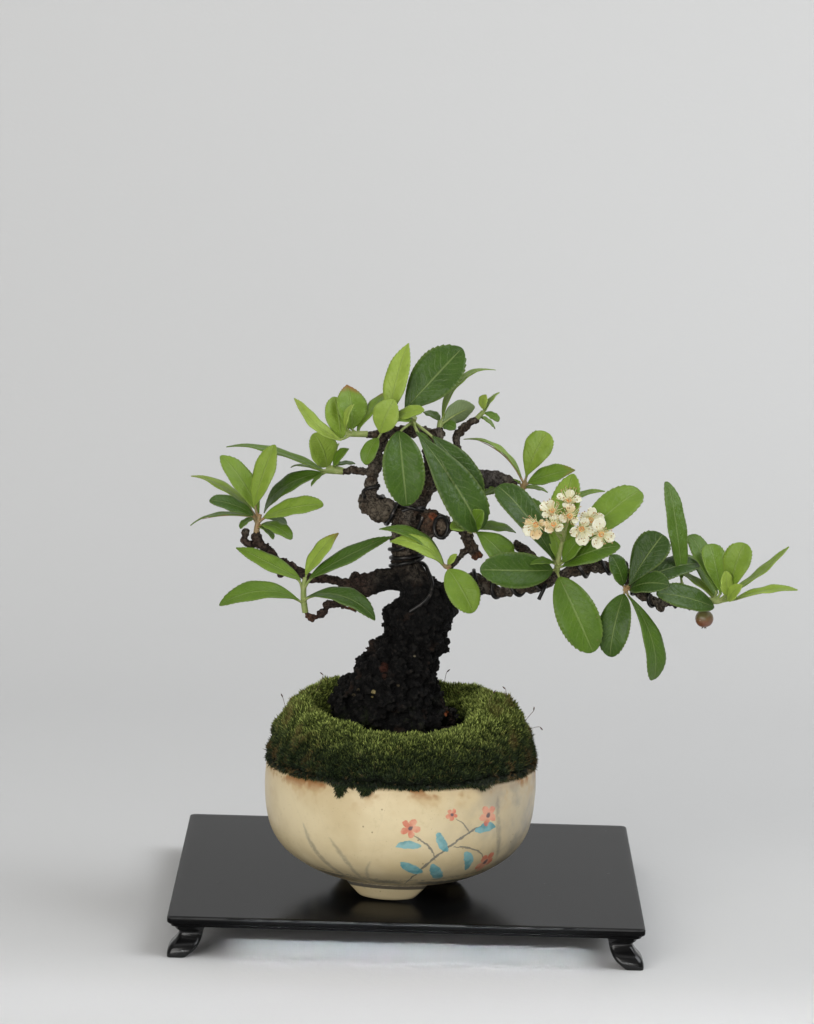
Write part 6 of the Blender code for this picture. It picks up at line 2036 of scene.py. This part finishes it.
def makeHeart(stalkPaint, heartPaint, threadPaint):
    # Cup below, orange disc with five small styles above, in millimetres round the origin
    cone = bpy.ops.mesh.primitive_cone_add
    cup = added(cone, vertices=16, radius1=0.42, radius2=1.25, depth=1.35, at=(0, 0, -0.62))
    startEditing(cup)
    pick("faces", lambda f: f.calc_center_median().z > 0.0)
    bpy.ops.mesh.inset(thickness=0.22)
    bpy.ops.transform.translate(value=(0.0, 0.0, -0.18))
    stopEditing()
    softened = cup.modifiers.new("softened", "SUBSURF")
    softened.levels = softened.render_levels = 1
    applyAll(cup)
    cup.data.materials.append(stalkPaint)
    disc = added(
        bpy.ops.mesh.primitive_uv_sphere_add, segments=16, ring_count=8, radius=1.0,
        at=(0, 0, 0.02), scale=(1.02, 1.02, 0.42), paint=heartPaint,
    )
    parts = [cup, disc]
    for k in range(5):
        angle = 2 * math.pi * k / 5
        parts.append(added(
            cone, vertices=5, radius1=0.13, radius2=0.07, depth=1.0, paint=threadPaint,
            at=(0.28 * math.cos(angle), 0.28 * math.sin(angle), 0.75),
        ))
        # Pointed sepals turned back under the petals
        sepal = added(
            cone, vertices=4, radius1=0.62, radius2=0.05, depth=1.5, paint=stalkPaint,
            at=(1.55, 0.0, -0.25), turn=(0.0, math.radians(100.0), 0.0), scale=(0.28, 1.0, 1.0),
        )
        setPoints(sepal.data, points(sepal) @ turnAbout(angle + math.pi / 5).T)
        parts.append(sepal)
    heart = joined(parts)
    bpy.ops.object.shade_smooth_by_angle(angle=math.radians(45))
    return heart


def blossomSeat(number):
    spot, facing = blossoms[number][:2]
    middle = place(*spot)
    facing = Vector(facing).normalized()
    return middle, facing, middle - facing * 1.35 * mm


def makeBlossom(number, patterns):
    middle, facing, _ = blossomSeat(number)
    draw = random.Random(70 + number)
    side, across = crossing(facing, Vector((1.0, 0.0, 0.0)))
    frameOf = np.array(Matrix((side, across, facing)))
    centre = np.array(middle)

    def laid(found, name, pattern):
        return meshCopy(pattern, (found * mm) @ frameOf + centre, name)

    parts = [laid(points(patterns["heart"]), "heart", patterns["heart"])]
    for degrees, size, spent in blossoms[number][2]:
        long, wide, deep = flowerLook["petalSize"]
        found = points(patterns["petal"]) * (long * size, wide * size, deep)
        tilt = turnAbout(math.radians(draw.uniform(-14.0, 10.0)), "Y")
        roll = turnAbout(math.radians(draw.uniform(-9.0, 9.0)), "X")
        found = found @ roll.T @ tilt.T + (0.85, 0.0, 0.0)
        petal = laid(found @ turnAbout(math.radians(degrees)).T, "petal", patterns["petal"])
        setValue(petal.data, "petalSpent", spent)
        parts.append(petal)
    for k in range(flowerLook["stamens"]):
        angle = 2 * math.pi * (k + draw.uniform(-0.3, 0.3)) / flowerLook["stamens"]
        lean = math.radians(draw.uniform(12.0, 66.0))
        length = draw.uniform(2.3, 3.7)
        spin = Matrix.Rotation(angle, 3, "Z")
        grown = np.array(spin @ Matrix.Rotation(lean, 3, "Y"))
        for pattern in (patterns["thread"], patterns["anther"]):
            found = points(pattern) * (3.0, 3.0, length)
            if pattern is patterns["anther"]:
                found[:, 2] = length + (found[:, 2] - length * 1.02) * 3.0 / length
            foot = np.array(spin) @ (0.75, 0.0, 0.15)
            parts.append(laid(found @ grown.T + foot, "stamen", pattern))
    keep(joined(parts), f"blossom{number + 1}", [f"blossom_{number + 1}"])


def makeStalks(paint):
    limb, _, stem, *_ = shoots["shoot_flowering"]
    path, _ = stemOf(limb, stem)
    end = path[-1]
    start = end - (path[-1] - path[-2]).normalized() * 0.6 * mm
    main = [(start, 0.78)] + [(place(*row[:3]), row[3] * 0.9) for row in stalks[0]]
    fork = [(place(*row[:3]), row[3] * 0.85) for row in stalks[1]]
    lines = [main, fork]
    for number, branch in enumerate(stalkForks):
        middle, facing, seat = blossomSeat(number)
        begin = (main, fork)[branch][-2 if number % 2 else -1][0]
        bend = seat - facing * 1.6 * mm
        rise = begin.lerp(bend, 0.5) + Vector((0.0, 0.0, -0.5)) * mm
        lines.append([(begin, 0.42), (rise, 0.36), (bend, 0.34), (seat + facing * 0.3 * mm, 0.42)])
    piece = softTube("flowerStalks", lines, 2, 4)
    keep(piece, "flowerStalks", ["flower_stalks"], paint)


stalkPaint = plainPaint("flowerStalk", flowerLook["stalk"], flowerLook["stalkPale"], 0.9, 0.6)
heartPaint = plainPaint("flowerHeart", flowerLook["heart"], flowerLook["heartPale"], 1.4, 0.5, 0.2)
threadPaint = plainPaint("flowerThread", flowerLook["thread"], flowerLook["threadDark"], 1.0, 0.55)
antherPaint = plainPaint("flowerAnther", flowerLook["anther"], flowerLook["antherPale"], 0.55, 0.7)
flowerPatterns = {
    "petal": makePetal(petalPaint()),
    "heart": makeHeart(stalkPaint, heartPaint, threadPaint),
}
flowerPatterns["thread"], flowerPatterns["anther"] = makeStamen(threadPaint, antherPaint)
for number in range(len(blossoms)):
    makeBlossom(number, flowerPatterns)
for pattern in flowerPatterns.values():
    bpy.data.objects.remove(pattern)
makeStalks(stalkPaint)
print("flowers ready")


# Berry

berryLook = {
    "middle": (88.0, 44.4, -5.0),
    "radius": 2.7,
    "carrier": (88.0, 49.95, -5.0),
    "above": (0.150, 0.130, 0.040),
    "below": (0.170, 0.060, 0.024),
    "spots": (0.30, 0.22, 0.10),
    "calyx": (0.055, 0.030, 0.016),
    "calyxPale": (0.10, 0.07, 0.035),
}


def berryPaint(middle):
    paint, at = newPaint("ripeningBerry")
    up = (at.part("Z") - middle.z / mm) / berryLook["radius"]
    blotch = at.noise(0.5, 4.0, 0.6)
    ripe = (up + (blotch - 0.5) * 1.4).smooth(-0.5, 0.7)
    colour = ripe.mix(berryLook["below"], berryLook["above"])
    colour = (at.cells(1.3).smooth(0.18, 0.08) * 0.5).mix(colour, berryLook["spots"])
    return finished(
        paint, Base_Color=colour, Roughness=0.34 + blotch * 0.12, Normal=blotch.bump(0.2, 0.5),
        Coat_Weight=0.2, Coat_Roughness=0.2,
    )


def makeBerry():
    middle = place(*berryLook["middle"])
    top = place(*berryLook["carrier"]) - Vector((0.0, 0.0, 1.0)) * mm
    radius = berryLook["radius"] * mm
    fruit = added(
        bpy.ops.mesh.primitive_uv_sphere_add, segments=40, ring_count=24, radius=radius, at=middle,
        paint=berryPaint(middle),
    )
    found = points(fruit) - np.array(middle)
    # Dimpled round the stalk and flattened round the calyx
    height = found[:, 2] / radius
    width = np.hypot(found[:, 0], found[:, 1]) / radius
    found[:, 2] -= 0.16 * radius * np.exp(-((width / 0.30) ** 2)) * np.sign(height)
    found[:, :2] *= (1.0 + 0.025 * np.cos(5.0 * np.arctan2(found[:, 1], found[:, 0])))[:, None]
    setPoints(fruit.data, found * (0.985, 0.985, 0.97) + np.array(middle))
    crumb = plainPaint("driedCalyx", berryLook["calyx"], berryLook["calyxPale"], 1.5, 0.85, 0.2)
    parts = [fruit]
    for k in range(5):
        angle = 2 * math.pi * k / 5 + 0.3
        out = Vector((math.sin(angle), -math.cos(angle), 0.0))
        parts.append(added(
            bpy.ops.mesh.primitive_cone_add, vertices=6, radius1=0.42 * mm, radius2=0.05 * mm,
            depth=1.1 * mm, scale=(0.4, 1.0, 1.0), turn=(math.radians(138.0), 0.0, angle),
            at=middle + out * 0.42 * mm - Vector((0.0, 0.0, radius * 0.93)), paint=crumb,
        ))
    for part in parts:
        onlySelect(part)
        bpy.ops.object.shade_smooth()
    low = middle + Vector((0.0, 0.0, radius - 0.45 * mm))
    bowed = top.lerp(low, 0.5) + Vector((0.25, 0.0, 0.0)) * mm
    stalk = softTube("berryStalk", [[(top, 0.48), (bowed, 0.36), (low, 0.42)]], 2, 4)
    stalk.data.materials.append(crumb)
    keep(joined(parts + [stalk]), "ripeningBerry", ["berry"])


makeBerry()
print("berry ready")


# Spore stalks of the moss

sporeLook = {
    # Foot and head as (across, up, behind), and where the capsule points
    "stalks": (
        ((24.6, 17.5, -6.0), (26.3, 20.4, -6.0), (0.8, 1.0)),
        ((30.2, 17.0, 2.0), (30.4, 21.8, 1.0), (-0.9, 0.8)),
        ((36.6, 11.5, -4.0), (38.6, 15.6, -5.0), (0.1, 1.2)),
        ((37.6, 10.0, -8.0), (40.4, 11.4, -9.0), (0.9, -1.0)),
        ((-34.4, 14.0, 2.0), (-35.2, 17.6, 2.0), (-0.4, 0.8)),
        ((-22.5, 22.0, 6.0), (-23.4, 24.6, 6.0), (-0.8, 0.6)),
        ((12.0, 22.0, 24.0), (12.6, 26.4, 25.0), (0.7, 0.7)),
        ((-6.0, 23.0, 26.0), (-7.0, 26.6, 27.0), (-0.9, 0.2)),
    ),
    "colours": ((0.060, 0.036, 0.026), (0.13, 0.075, 0.045)),
}


def makeSpores():
    paint = plainPaint("sporeStalk", *sporeLook["colours"], 0.7, 0.5)
    surface = treeOf(bpy.data.objects["mossMound"])
    draw = random.Random(31)
    lines = []
    for foot, head, (beside, above) in sporeLook["stalks"]:
        low, high = place(*foot), place(*head)
        ground = surface.find_nearest(low)[0]
        sway = Vector((draw.uniform(-0.4, 0.4), draw.uniform(-0.4, 0.4), 0.5))
        bend = ground.lerp(high, 0.6) + sway * mm
        nod = high + Vector((beside, 0.0, above)) * 0.3 * mm
        lines.append([(ground, 0.08), (bend, 0.07), (high, 0.07), (nod, 0.09)])
        tipEnd = nod + Vector((beside, 0.0, above)).normalized() * 1.15 * mm
        capsule = ((0.0, 0.10), (0.4, 0.30), (0.8, 0.22), (1.0, 0.06))
        lines.append([(nod.lerp(tipEnd, share), radius) for share, radius in capsule])
    piece = softTube("sporeStalks", lines, 1, 3)
    keep(piece, "sporeStalks", (), paint)


makeSpores()
print("spore stalks ready")


# The whole

clearSelection()
